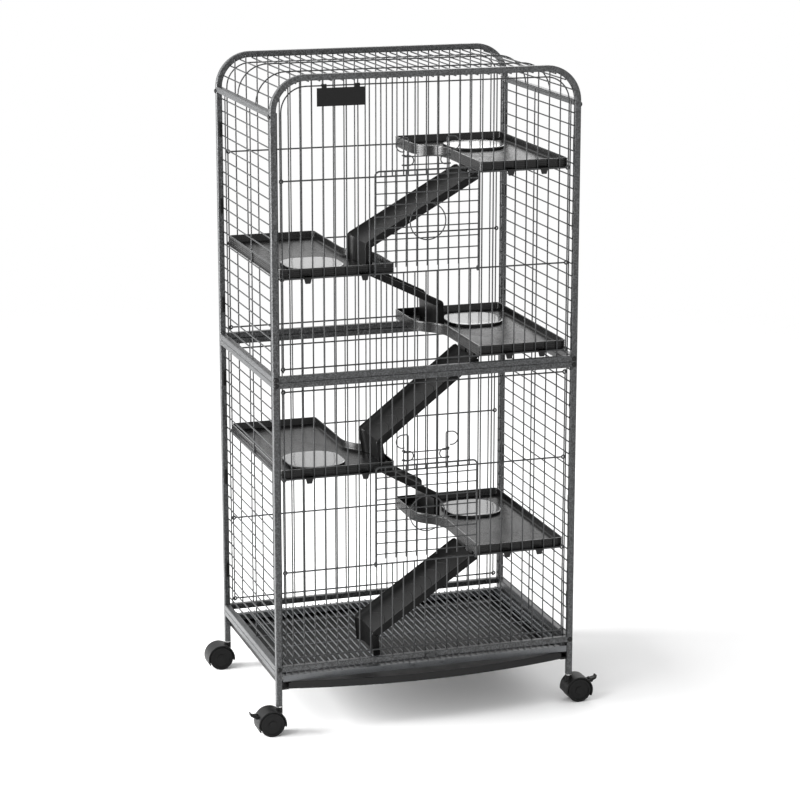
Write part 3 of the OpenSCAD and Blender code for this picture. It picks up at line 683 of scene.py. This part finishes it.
def run_group(name, source, settings):
    """Runs a group, made when it is first used, on a mesh and returns the result as a mesh."""
    tree = bpy.data.node_groups.get(name) or GROUPS[name]()
    holder = bpy.data.objects.new("holder", source)
    bpy.context.scene.collection.objects.link(holder)
    modifier = holder.modifiers.new("making", "NODES")
    modifier.node_group = tree
    for item in tree.interface.items_tree:
        if item.name in settings:
            modifier[item.identifier] = settings[item.name]
    depsgraph = bpy.context.evaluated_depsgraph_get()
    made = bpy.data.meshes.new_from_object(
        holder.evaluated_get(depsgraph), preserve_all_data_layers=False, depsgraph=depsgraph
    )
    bpy.data.objects.remove(holder)
    return made


# ---- Small mesh helpers ----------------------------------------------------------------

MIDDLE = Matrix.Translation((0, MID_Y, 0))
TOUCHING = 1e-6
SOFT_EDGE = 0.0006


def line_mesh(lines):
    """Mesh of open centre lines; a line whose ends meet becomes a ring."""
    points, edges = [], []
    for line in lines:
        first = len(points)
        closed = (Vector(line[0]) - Vector(line[-1])).length < TOUCHING
        kept = line[:-1] if closed else line
        points += kept
        edges += [(first + i, first + i + 1) for i in range(len(kept) - 1)]
        if closed:
            edges.append((first + len(kept) - 1, first))
    mesh = bpy.data.meshes.new("centre_lines")
    mesh.from_pydata(points, edges, [])
    return mesh


def wires(lines, diameter, finish="wire_coat", count=1, step=(0.0, 0.0, 0.0)):
    """Mesh of round wires along centre lines, repeated in a row."""
    settings = {
        "Count": count,
        "Step": step,
        "Diameter": diameter,
        "Sides": bpy.context.scene.cage_sizes.wire_sides,
        "Finish": finish_named(finish),
    }
    return run_group("wire_row", line_mesh(lines), settings)


def arc(centre, radius, start, end, steps=10):
    """Points of an arc in the XZ plane, with angles in degrees from +X towards +Z."""
    turns = [math.radians(start + (end - start) * i / steps) for i in range(steps + 1)]
    x, y, z = centre
    return [(x + radius * math.cos(turn), y, z + radius * math.sin(turn)) for turn in turns]


def coated_mesh(body, sharp, finish):
    """Plain mesh of a closed body with its finish, smooth but for edges over a sharp angle."""
    bmesh.ops.recalc_face_normals(body, faces=body.faces)
    mesh = bpy.data.meshes.new("coated")
    body.to_mesh(mesh)
    body.free()
    mesh.shade_smooth()
    mesh.set_sharp_from_angle(angle=math.radians(sharp))
    mesh.materials.append(finish_named(finish))
    return mesh


def skin(loops, finish, sharp=50.0, ring=False, soft=0.0):
    """Closed body over loops of points, capped at both ends or carried round to a ring."""
    body = bmesh.new()
    rows = [[body.verts.new(point) for point in loop] for loop in loops]
    for low, high in zip(rows, rows[1:] + rows[:1] if ring else rows[1:]):
        for i in range(len(low)):
            j = (i + 1) % len(low)
            body.faces.new((low[i], low[j], high[j], high[i]))
    if not ring:
        body.faces.new(rows[0][::-1])
        body.faces.new(rows[-1])
    if soft:
        bmesh.ops.recalc_face_normals(body, faces=body.faces)
        bmesh.ops.bevel(body, geom=body.edges[:], offset=soft, segments=2, affect="EDGES")
    return coated_mesh(body, sharp, finish)


def prism(outline, span, finish, along="X", soft=SOFT_EDGE):
    """Outline of (y, z) points drawn along X, or of (x, z) points along Y, with soft edges."""
    loops = [
        [(end, side, z) if along == "X" else (side, end, z) for side, z in outline]
        for end in span
    ]
    return skin(loops, finish, soft=soft)


def lathe(outline, sides, finish, sharp=38.0):
    """Closed body turned round +Z from (radius, height) points, as a plain mesh."""
    body = bmesh.new()
    turns = [2 * math.pi * i / sides for i in range(sides)]
    rings = []
    for radius, height in outline:
        spots = [(radius * math.cos(turn), radius * math.sin(turn), height) for turn in turns]
        rings.append([body.verts.new(spot) for spot in (spots if radius else spots[:1])])
    for low, high in zip(rings, rings[1:]):
        for i in range(sides):
            # A pole's ring has one point, which then counts once in the face
            places = ((low, i), (low, i + 1), (high, i + 1), (high, i))
            corners = dict.fromkeys(ring[place % len(ring)] for ring, place in places)
            body.faces.new(list(corners))
    return coated_mesh(body, sharp, finish)


def piece(name, meshes, body, replaced):
    """Joins meshes into one object that rides a body and stands for a CAD node."""
    joined = bmesh.new()
    materials = []
    for mesh in meshes:
        first = len(joined.faces)
        joined.from_mesh(mesh)
        joined.faces.ensure_lookup_table()
        # A mesh from a node group may have an empty slot before its material
        material = next(made for made in mesh.materials if made)
        if material not in materials:
            materials.append(material)
        for face in joined.faces[first:]:
            face.material_index = materials.index(material)
    data = bpy.data.meshes.new(name)
    joined.to_mesh(data)
    joined.free()
    for material in materials:
        data.materials.append(material)
    made = bpy.data.objects.new(name, data)
    bpy.context.scene.collection.objects.link(made)
    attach(made, body)
    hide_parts(replaced)


# ---- Wire panels -----------------------------------------------------------------------


def arch_height(x):
    """Height of the arch's centre line at a distance from the cage's middle."""
    side = max(0.0, abs(x) - BEND_X)
    return BEND_Z + math.sqrt(BEND_R**2 - side**2)


def cross_wires(heights):
    """Level wires with an eye at each end, on the front of the uprights."""
    lines = []
    for z in heights:
        reach = BORDER_X - EYE_R
        lines.append([(-reach, -CROSS_Y, z), (reach, -CROSS_Y, z)])
        lines += [arc((side * BORDER_X, -CROSS_Y, z), EYE_R, 0, 360) for side in (-1, 1)]
    return wires(lines, bpy.context.scene.cage_sizes.cross_wire)


def upright_wires(low, high, bay):
    """Uprights from a height to the arch or to another height, cut away at a door bay."""
    sizes = bpy.context.scene.cage_sizes
    half_count = int((BORDER_X - EDGE_GAP) / sizes.pitch)
    door_count = int(DOOR_HALF / sizes.pitch)
    lines = []
    for place in range(-half_count, half_count + 1):
        x = place * sizes.pitch
        top = high or arch_height(x)
        spans = [(low, top)]
        if bay and abs(place) <= door_count:
            spans = [(low, bay[0] + PAST_BAY), (bay[1] - PAST_BAY, top)]
        lines += [[(x, -UPRIGHT_Y, start), (x, -UPRIGHT_Y, end)] for start, end in spans]
    return wires(lines, sizes.upright_wire)


def border_wire(low, arched):
    """Edge wire of a panel: over the arch, or a plain one at each side."""
    sides = (-BORDER_X, BORDER_X)
    lines = [[(x, -BORDER_Y, low), (x, -BORDER_Y, MID_LOW_WIRE + PAST_EYE)] for x in sides]
    if arched:
        left = arc((-BEND_X, -BORDER_Y, BEND_Z), BORDER_R, 180, 90)
        right = arc((BEND_X, -BORDER_Y, BEND_Z), BORDER_R, 90, 0)
        lines = [[lines[0][0], *left, *right, lines[1][0]]]
    return wires(lines, bpy.context.scene.cage_sizes.upright_wire)


def flat_panel(name, low, high, heights, bay=()):
    """Front panel, or the rear one when it is turned round, from its uprights' ends."""
    border = border_wire(heights[0] - PAST_EYE, not high)
    made = [upright_wires(low, high, bay), cross_wires(heights), border]
    turn = Matrix.Rotation(math.pi if name.startswith("rear") else 0.0, 4, "Z")
    for mesh in made:
        mesh.transform(MIDDLE @ turn)
    piece(name + "_wires", made, "frame", name)


def side_panel(name, low, high, end_low, end_high):
    """Level wires from front to back on three uprights."""
    sizes = bpy.context.scene.cage_sizes
    side = -1 if name.startswith("left") else 1
    x, stay_x = side * SIDE_X, side * STAY_X
    level = wires(
        [[(x, -WIRE_REACH, low), (x, WIRE_REACH, low)]],
        sizes.upright_wire,
        count=int((high - low) / sizes.side_pitch) + 1,
        step=(0.0, 0.0, sizes.side_pitch),
    )
    stays = wires(
        [[(stay_x, -STAY_Y, end_low), (stay_x, -STAY_Y, end_high)]],
        sizes.upright_wire,
        count=3,
        step=(0.0, STAY_Y, 0.0),
    )
    for mesh in (level, stays):
        mesh.transform(MIDDLE)
    piece(name + "_wires", [level, stays], "frame", name)


def top_panel():
    """Front-to-back wires under the arches, carried by two hoops."""
    wire = bpy.context.scene.cage_sizes.upright_wire
    pitch = bpy.context.scene.cage_sizes.pitch * TOP_PITCH_SHARE
    radius = BEND_R - TUBE / 2 - wire / 2 - TOP_GAP
    hoop = radius + wire + TOP_GAP
    last = int((BEND_X - EDGE_GAP) / pitch - 0.5)
    start, top = -(last + 0.5) * pitch, BEND_Z + radius
    flat = wires(
        [[(start, -WIRE_REACH, top), (start, WIRE_REACH, top)]],
        wire,
        count=2 * last + 2,
        step=(pitch, 0.0, 0.0),
    )
    corner_lines = []
    for side in (-1, 1):
        for turn in map(math.radians, CORNER_TURNS):
            x, z = side * (BEND_X + radius * math.sin(turn)), BEND_Z + radius * math.cos(turn)
            corner_lines.append([(x, -WIRE_REACH, z), (x, WIRE_REACH, z)])
    hoops = []
    for y in (-POST_Y / 3, POST_Y / 3):
        left = arc((-BEND_X, y, BEND_Z), hoop, 180 - HOOP_TURN, 90)
        right = arc((BEND_X, y, BEND_Z), hoop, 90, HOOP_TURN)
        hoops.append(left + right)
    made = [flat, wires(corner_lines, wire), wires(hoops, wire)]
    for mesh in made:
        mesh.transform(MIDDLE)
    piece("top_panel_wires", made, "frame", "top_panel")


def make_panels():
    """The nine wire panels."""
    upper_low, lower_high = SEAM_Z + TUBE / 2, SEAM_Z - TUBE / 2
    upper = [LEVELS[2], LEVELS[1], LEVELS[0]]
    lower = [LOW_WIRE, LEVELS[4], LEVELS[3], MID_LOW_WIRE]
    flat_panel("front_upper_panel", upper_low, 0.0, upper, bay=(LEVELS[1], LEVELS[0]))
    flat_panel("front_lower_panel", SILL_Z, lower_high, lower, bay=(LEVELS[4], LEVELS[3]))
    flat_panel("rear_upper_panel", upper_low, 0.0, upper)
    flat_panel("rear_lower_panel", SILL_Z, lower_high, lower)
    for side in ("left", "right"):
        side_panel(side + "_upper_panel", LEVELS[2], RAIL_Z - TUBE, upper_low, ARCH_FOOT_Z)
        side_panel(side + "_lower_panel", LOW_WIRE, SEAM_Z - UNDER_SEAM, SILL_Z, lower_high)
    top_panel()


# ---- Bolts -----------------------------------------------------------------------------


def bolt_points():
    """Places and facings of the frame bolts, one dome on each outer face."""
    spots = []
    for side in (-1, 1):
        for row in (-1, 1):
            for z in (SEAM_Z + TUBE / 2, SEAM_Z - TUBE / 2, SILL_Z):
                place = (side * POST_X, MID_Y + row * (POST_Y + TUBE / 2), z)
                spots.append((place, (0.0, float(row), 0.0)))
            place = (side * (POST_X + TUBE / 2), MID_Y + row * POST_Y, TOP_BOLT_Z)
            spots.append((place, (float(side), 0.0, 0.0)))
    return spots


def point_mesh(spots):
    """Mesh of loose points, each with the direction that it faces."""
    mesh = bpy.data.meshes.new("points")
    mesh.from_pydata([place for place, _ in spots], [], [])
    facing = mesh.attributes.new("facing", "FLOAT_VECTOR", "POINT")
    for value, (_, direction) in zip(facing.data, spots):
        value.vector = direction
    return mesh


def make_bolts():
    """Frame bolts: domed heads with a round socket on flat washers, with their shanks."""
    outline = [(0.0, -0.010), (0.002, -0.010), (0.002, 0.0), (0.0054, 0.0), (0.0053, 0.0008)]
    outline += [(0.0044, 0.0008), (0.0043, 0.0016), (0.0036, 0.0026), (0.0026, 0.0031)]
    outline += [(0.0016, 0.0030), (0.0016, 0.0019), (0.0011, 0.0017), (0.0, 0.0017)]
    head = bpy.data.objects.new("bolt", lathe(outline, sides=18, finish="blackened_steel"))
    settings = {"Fastener": head, "Size": 1.0, "Finish": finish_named("blackened_steel")}
    made = run_group("fasteners", point_mesh(bolt_points()), settings)
    piece("frame_bolt_set", [made], "frame", "frame_bolts")
    bpy.data.objects.remove(head)


# ---- Moulded shelves -------------------------------------------------------------------


def edge_arc(centre, radius, start, end, steps, hollow=False):
    """Plan points round a centre, each with the way out of the plan."""
    points = []
    for i in range(steps + 1):
        turn = math.radians(start + (end - start) * i / steps)
        out = Vector((math.cos(turn), math.sin(turn)))
        points.append((Vector(centre) + radius * out, -out if hollow else out))
    return points


def shelf_plan():
    """Right-hand shelf in plan: wide at the back, narrow at the front."""
    turn = 2 * math.degrees(math.atan2((NARROW_X - WIDE_X) / 2, EDGE_BEND_HALF))
    radius = EDGE_BEND_HALF / math.sin(math.radians(turn))
    outer, inner = OUTER_CORNER_R, INNER_CORNER_R
    near, far = EDGE_BEND_Y - EDGE_BEND_HALF, EDGE_BEND_Y + EDGE_BEND_HALF
    plan = edge_arc((NARROW_X + inner, inner - SHELF_Y), inner, 180, 270, steps=6)
    plan += edge_arc((SHELF_OUT - outer, outer - SHELF_Y), outer, 270, 360, steps=7)
    plan += edge_arc((SHELF_OUT - outer, SHELF_Y - outer), outer, 0, 90, steps=7)
    plan += edge_arc((WIDE_X + inner, SHELF_Y - inner), inner, 90, 180, steps=6)
    plan += edge_arc((WIDE_X + radius, far), radius, 180, 180 + turn, steps=10)
    bend = edge_arc((NARROW_X - radius, near), radius, turn, 0, steps=10, hollow=True)
    return plan + bend[1:]


def round_plan(centre, width, depth, radius):
    """Rectangle with round corners, in plan."""
    plan = []
    for quarter in range(4):
        side = Vector((1 if quarter in (0, 3) else -1, 1 if quarter in (0, 1) else -1))
        middle = Vector(centre) + side * Vector((width / 2 - radius, depth / 2 - radius))
        plan += edge_arc(middle, radius, 90 * quarter, 90 * quarter + 90, steps=12)
    return plan


def loft(plan, profile, finish, sharp=35.0, ring=False):
    """Body from loops of the plan, each drawn in by an inset at its height."""
    loops = [[(*(place - out * inset), height) for place, out in plan] for inset, height in profile]
    return skin(loops, finish, sharp, ring)


def shelf_bowl():
    """Floor with a rounded cove, ribbed wall and rolled lip."""
    height, wall, floor = SHELF_H, SHELF_T, SHELF_FLOOR
    profile = [(wall, wall), (wall, 0.0004), (wall - 0.0004, 0.0), (0.0004, 0.0), (0.0, 0.0004)]
    for rib in RIB_HEIGHTS:
        low, high = rib - RIB_HALF, rib + RIB_HALF
        profile += [(0.0, low), (RIB_DEEP, low + 0.0003), (RIB_DEEP, high - 0.0003), (0.0, high)]
    profile += [(0.0, height - 0.0010), (0.0003, height - 0.0003), (0.0010, height)]
    profile += [(wall - 0.0010, height), (wall - 0.0003, height - 0.0003)]
    profile += [(wall, height - 0.0010), (wall, floor + 0.0030)]
    profile += [(wall + 0.0006, floor + 0.0014), (wall + 0.0018, floor + 0.0004)]
    profile += [(wall + 0.0034, floor)]
    return loft(shelf_plan(), profile, "shelf_plastic")


def shelf_rim():
    """Line along the top of the wall in a bright finish: a painted highlight."""
    height, middle, half = SHELF_H, SHELF_T / 2, 0.0007
    profile = [(middle + half, height - 0.0006), (middle - half, height - 0.0006)]
    profile += [(middle - half, height + 0.0001), (middle - 0.0003, height + 0.0003)]
    profile += [(middle + 0.0003, height + 0.0003), (middle + half, height + 0.0001)]
    return loft(shelf_plan(), profile, "worn_rim", ring=True)


def shelf_pad():
    """Raised resting pad: a dark upright edge and a polished, slightly crowned top, whose lighter
    colour is a painted reflection.
    """
    low, top = SHELF_FLOOR - 0.0005, SHELF_FLOOR + 0.0060
    plan = round_plan(PAD_PLACE, *PAD_SIZE)
    edge = [(0.0, low), (0.0, top - 0.0014), (0.0004, top - 0.0007), (0.0014, top - 0.0006)]
    crown = [(0.0006, top - 0.0012), (0.0008, top - 0.0004), (0.0016, top - 0.0001)]
    crown += [(0.0040, top), (0.0200, top + 0.0001), (0.0360, top + 0.0001)]
    return [loft(plan, edge, "shelf_plastic"), loft(plan, crown, "pad_plastic")]


def shelf_hook(x):
    """Hook over a front cross wire, with a tapered tongue down the wire's outer side."""
    top = SHELF_T + HOOK_OVER + HOOK_T
    low = top - HOOK_T
    face, root = -CROSS_Y - HOOK_OVER, -SHELF_Y + 0.001
    tip = face - HOOK_T
    arm = [(tip, low), (tip, top), (root, top), (root, low)]
    tongue = [(x - HOOK_HALF, top), (x + HOOK_HALF, top), (x + HOOK_HALF, top - 0.006)]
    tongue += [(x + 0.005, top - 0.015), (x - 0.005, top - 0.015), (x - HOOK_HALF, top - 0.006)]
    return [
        prism(arm, (x - HOOK_HALF, x + HOOK_HALF), "shelf_plastic"),
        prism(tongue, (tip, face), "shelf_plastic", along="Y"),
    ]


def shelf_hooks():
    """Two hooks at the front, and two at the back, which are turned from front to back."""
    pitch = bpy.context.scene.cage_sizes.pitch
    front = [mesh for place in FRONT_HOOKS for mesh in shelf_hook(place * pitch)]
    rear = [mesh for place in REAR_HOOKS for mesh in shelf_hook(place * pitch)]
    for mesh in rear:
        mesh.transform(Matrix.Scale(-1, 4, (0, 1, 0)))
        mesh.flip_normals()
    return front + rear


def shelf_bead():
    """Bead under the inner edge that the ramp hooks on, with its three webs."""
    z, top = SHELF_T - BEAD_DROP, SHELF_T + 0.0005
    half, web_half = RAMP_W / 2 - 0.008, 0.002
    line = [(BEAD_X, -RAMP_Y - half, z), (BEAD_X, -RAMP_Y + half, z)]
    made = [wires([line], BEAD_D, "shelf_plastic")]
    for shift in BEAD_WEBS:
        near, far = shift - RAMP_Y - WEB_T / 2, shift - RAMP_Y + WEB_T / 2
        web = [(near, z), (near, top), (far, top), (far, z)]
        made.append(prism(web, (BEAD_X - web_half, BEAD_X + web_half), "shelf_plastic"))
    return made


def make_shelves():
    """The five shelves, right and left in turn from the top."""
    for index, level in enumerate(LEVELS):
        made = [shelf_bowl(), *shelf_pad(), shelf_rim(), *shelf_bead(), *shelf_hooks()]
        turn = Matrix.Rotation(math.pi * (index % 2), 4, "Z")
        for mesh in made:
            mesh.transform(MIDDLE @ Matrix.Translation((0, 0, level - SHELF_T)) @ turn)
        name = f"shelf_{index + 1}"
        piece(name + "_moulding", made, "frame", name)


# ---- Ramps -----------------------------------------------------------------------------


def ramp_slope(top, landing):
    """Slope of a ramp, in radians, that sets its rounded tip on the landing."""
    straight = NOSE_L - TIP_R
    tip_u = RAMP_L + straight * math.cos(NOSE_TURN) - TIP_R * math.sin(NOSE_TURN)
    tip_w = DECK - straight * math.sin(NOSE_TURN) - TIP_R * math.cos(NOSE_TURN)
    drop = top - BEAD_DROP - landing - TIP_R - TIP_GAP
    return math.asin(drop / math.hypot(tip_u, tip_w)) - math.atan2(-tip_w, tip_u)


def walkway_line():
    """Stations (u, w, turn) along the walkway's upper side, from the hinge to the tip.

    Those within a straight stretch keep the bend's smooth shading from spreading along it.
    """
    steps = 8
    run = RAMP_L - NOSE_R * math.tan(NOSE_TURN / 2)
    line = [(u, DECK, 0.0) for u in (0.0035, 0.0088, 0.06, 0.13, 0.20)]
    for step in range(steps + 1):
        turn = NOSE_TURN * step / steps
        line.append((run + NOSE_R * math.sin(turn), DECK - NOSE_R * (1 - math.cos(turn)), turn))
    for along in (0.02, 0.035, NOSE_L - 0.0015, NOSE_L - 0.0003):
        u, w = RAMP_L + along * math.cos(NOSE_TURN), DECK - along * math.sin(NOSE_TURN)
        line.append((u, w, NOSE_TURN))
    return line


def walkway():
    """Trough of the walkway: raised side walls with round rims, coves and a flat floor."""
    half, under = RAMP_W / 2, -WALL_H
    side = [(half - 0.0340, -TROUGH), (half - 0.0240, 0.0005 - TROUGH)]
    side += [(half - 0.0160, 0.0018 - TROUGH), (half - 0.0100, 0.0042 - TROUGH)]
    side += [(half - 0.0060, 0.0074 - TROUGH), (half - 0.0044, 0.0004)]
    side += [(half - 0.0034, RIM_H - 0.0003), (half - 0.0024, RIM_H)]
    side += [(half - 0.0010, RIM_H - 0.0005), (half - 0.0001, RIM_H - 0.0020), (half, 0.0)]
    side += [(half, under), (half - 0.0024, under), (half - 0.0300, under)]
    ring = side + [(-y, height) for y, height in side[::-1]]
    # At both ends the rims come down under the deck, clear of the shelf and of the landing
    low = [(y, min(height, -0.0008)) for y, height in ring]
    line = walkway_line()
    rings = [low] + [ring] * (len(line) - 2) + [low]
    loops = [
        [(u + lift * math.sin(turn), y, w + lift * math.cos(turn)) for y, lift in section]
        for (u, w, turn), section in zip(line, rings)
    ]
    return skin(loops, "ramp_plastic")


def ramp_treads():
    """Low arched treads across the walkway."""
    reach, bow, first, steps = RAMP_W / 2 - 0.026, 0.011, 0.030, 12
    floor = DECK - TROUGH - 0.0008
    shares = [2 * step / steps - 1 for step in range(steps + 1)]
    line = [(first + bow * share**2, reach * share, floor) for share in shares]
    count = int((RAMP_L - 0.05) / TREAD_PITCH) + 1
    return wires([line], TREAD_D, "ramp_plastic", count, (TREAD_PITCH, 0.0, 0.0))


def ramp_hook():
    """Rolled hook at the hinge, in the two stretches between the bead's webs."""
    outline = arc((0, 0, 0), ROLL_OUT, ROLL_TURN, 180, steps=12)
    outline += arc((0, 0, 0), ROLL_IN, 180, ROLL_TURN, steps=12)
    profile = [(x, z) for x, _, z in outline]
    return [prism(profile, span, "ramp_plastic", along="Y", soft=0.0003) for span in ROLL_SPANS]


def make_ramps():
    """The five ramps, each from a shelf to the next level down."""
    landings = [level + SHELF_T for level in LEVELS[1:]] + [GRATE_TOP]
    for index, (top, landing) in enumerate(zip(LEVELS, landings)):
        made = [walkway(), ramp_treads(), *ramp_hook()]
        turn = Matrix.Rotation(math.pi * (1 - index % 2), 4, "Z")
        hinge = Matrix.Translation((-BEAD_X, RAMP_Y, top - BEAD_DROP))
        slope = Matrix.Rotation(ramp_slope(top, landing), 4, "Y")
        for mesh in made:
            mesh.transform(MIDDLE @ turn @ hinge @ slope)
        name = f"ramp_{index + 1}"
        piece(name + "_moulding", made, name, name)


# ---- Studio ----------------------------------------------------------------------------


def make_floor():
    """Pale studio floor that keeps the shadow and fades into the white world."""
    mesh = bpy.data.meshes.new("studio_floor")
    corners = [(-FLOOR, -FLOOR, 0), (FLOOR, -FLOOR, 0), (FLOOR, FLOOR, 0), (-FLOOR, FLOOR, 0)]
    mesh.from_pydata(corners, [], [range(4)])
    floor = bpy.data.objects.new("studio_floor", mesh)
    bpy.context.scene.collection.objects.link(floor)
    finish = Finish("studio_paper")
    finish.colour(finish.mix(finish.noise(3.0), shade(WHITE, 0.92), shade(WHITE, 0.94)))
    finish.roughness(0.9)
    away = finish.node("ShaderNodeVectorMath", {"operation": "LENGTH"}, finish.place)
    finish.feed(finish.sockets["Alpha"], finish.stretch(away, FLOOR, FLOOR_FADE))
    mesh.materials.append(finish.material)


def make_lamps():
    """Square area lamps, all aimed at the middle of the cage."""
    for name, (place, size, power) in LAMPS.items():
        data = bpy.data.lights.new(name, "AREA")
        data.shape = "SQUARE"
        data.size = size
        data.energy = power
        lamp = bpy.data.objects.new(name, data)
        lamp.location = place
        way = Vector(LAMP_AIM) - Vector(place)
        lamp.rotation_euler = way.to_track_quat("-Z", "Y").to_euler()
        bpy.context.scene.collection.objects.link(lamp)


def make_world():
    """White to the camera, glossy and transmission rays, a soft grey light otherwise."""
    world = bpy.data.worlds.new("studio_world")
    world.use_nodes = True
    graph = Graph(world.node_tree)
    background = graph.tree.nodes["Background"]
    graph.feed(background.inputs["Color"], WHITE)
    graph.feed(background.inputs["Strength"], WORLD_LIGHT)
    soft = Num(graph, background.outputs["Background"])
    white = graph.node("ShaderNodeBackground", {}, WHITE, 1.0)
    camera, glossy, through = (
        graph.node("ShaderNodeLightPath", {}, output=f"Is {kind} Ray")
        for kind in ("Camera", "Glossy", "Transmission")
    )
    seen = graph.node("ShaderNodeMath", {"operation": "MAXIMUM"}, camera, glossy)
    seen = graph.node("ShaderNodeMath", {"operation": "MAXIMUM"}, seen, through)
    mixed = graph.node("ShaderNodeMixShader", {}, seen, soft, white)
    graph.feed(graph.tree.nodes["World Output"].inputs["Surface"], mixed)
    bpy.context.scene.world = world


def make_camera():
    """The photograph's point of view."""
    data = bpy.data.cameras.new("photo_camera")
    data.lens = LENS
    data.sensor_width = SENSOR
    camera = bpy.data.objects.new("photo_camera", data)
    camera.location = CAMERA_PLACE
    across = math.cos(CAMERA_DIP)
    ahead = Vector((
        math.sin(CAMERA_YAW) * across,
        math.cos(CAMERA_YAW) * across,
        -math.sin(CAMERA_DIP),
    ))
    camera.rotation_euler = ahead.to_track_quat("-Z", "Y").to_euler()
    bpy.context.scene.collection.objects.link(camera)
    bpy.context.scene.camera = camera


def make_studio():
    """Camera, floor, world and lamps."""
    make_camera()
    make_floor()
    make_world()
    make_lamps()
    bpy.context.scene.view_settings.view_transform = "Standard"


# ---- Add-on ----------------------------------------------------------------------------


class CAGE_OT_studio(bpy.types.Operator):
    """Adds the camera, floor, world and lamps"""

    bl_idname = "cage.studio"
    bl_label = "Studio"

    def execute(self, context):
        make_studio()
        return {"FINISHED"}


class CAGE_OT_finishes(bpy.types.Operator):
    """Gives each node of the fixed frame its finish"""

    bl_idname = "cage.finishes"
    bl_label = "Finishes"

    def execute(self, context):
        dress_nodes()
        return {"FINISHED"}


class CAGE_OT_panels(bpy.types.Operator):
    """Makes the nine wire panels"""

    bl_idname = "cage.panels"
    bl_label = "Wire panels"

    def execute(self, context):
        make_panels()
        return {"FINISHED"}


class CAGE_OT_bolts(bpy.types.Operator):
    """Makes the frame bolts"""

    bl_idname = "cage.bolts"
    bl_label = "Bolts"

    def execute(self, context):
        make_bolts()
        return {"FINISHED"}


class CAGE_OT_shelves(bpy.types.Operator):
    """Makes the five moulded shelves"""

    bl_idname = "cage.shelves"
    bl_label = "Shelves"

    def execute(self, context):
        make_shelves()
        return {"FINISHED"}


class CAGE_OT_ramps(bpy.types.Operator):
    """Makes the five ramps"""

    bl_idname = "cage.ramps"
    bl_label = "Ramps"

    def execute(self, context):
        make_ramps()
        return {"FINISHED"}


STEPS = (
    CAGE_OT_studio,
    CAGE_OT_finishes,
    CAGE_OT_panels,
    CAGE_OT_bolts,
    CAGE_OT_shelves,
    CAGE_OT_ramps,
)


class CAGE_PT_main(bpy.types.Panel):
    """Sidebar panel with the sizes, the colours and the steps in order."""

    bl_label = "Ferret cage"
    bl_idname = "CAGE_PT_main"
    bl_space_type = "VIEW_3D"
    bl_region_type = "UI"
    bl_category = "Cage"

    def draw(self, context):
        scene = context.scene
        for group in (scene.cage_sizes, scene.cage_colours):
            box = self.layout.box()
            for name in group.bl_rna.properties.keys():
                if name not in {"rna_type", "name"}:
                    box.prop(group, name)
        column = self.layout.column(align=True)
        for step in STEPS:
            column.operator(step.bl_idname)


CLASSES = (CageSizes, CageColours, *STEPS, CAGE_PT_main)


def register():
    """Adds the add-on's classes and its settings."""
    for item in CLASSES:
        bpy.utils.register_class(item)
    bpy.types.Scene.cage_sizes = PointerProperty(type=CageSizes)
    bpy.types.Scene.cage_colours = PointerProperty(type=CageColours)


def unregister():
    """Removes the settings and the add-on's classes."""
    del bpy.types.Scene.cage_sizes
    del bpy.types.Scene.cage_colours
    for item in reversed(CLASSES):
        bpy.utils.unregister_class(item)


def main():
    """Registers the add-on and runs every step."""
    register()
    for step in STEPS:
        family, action = step.bl_idname.split(".")
        getattr(getattr(bpy.ops, family), action)()


if __name__ == "__main__":
    main()
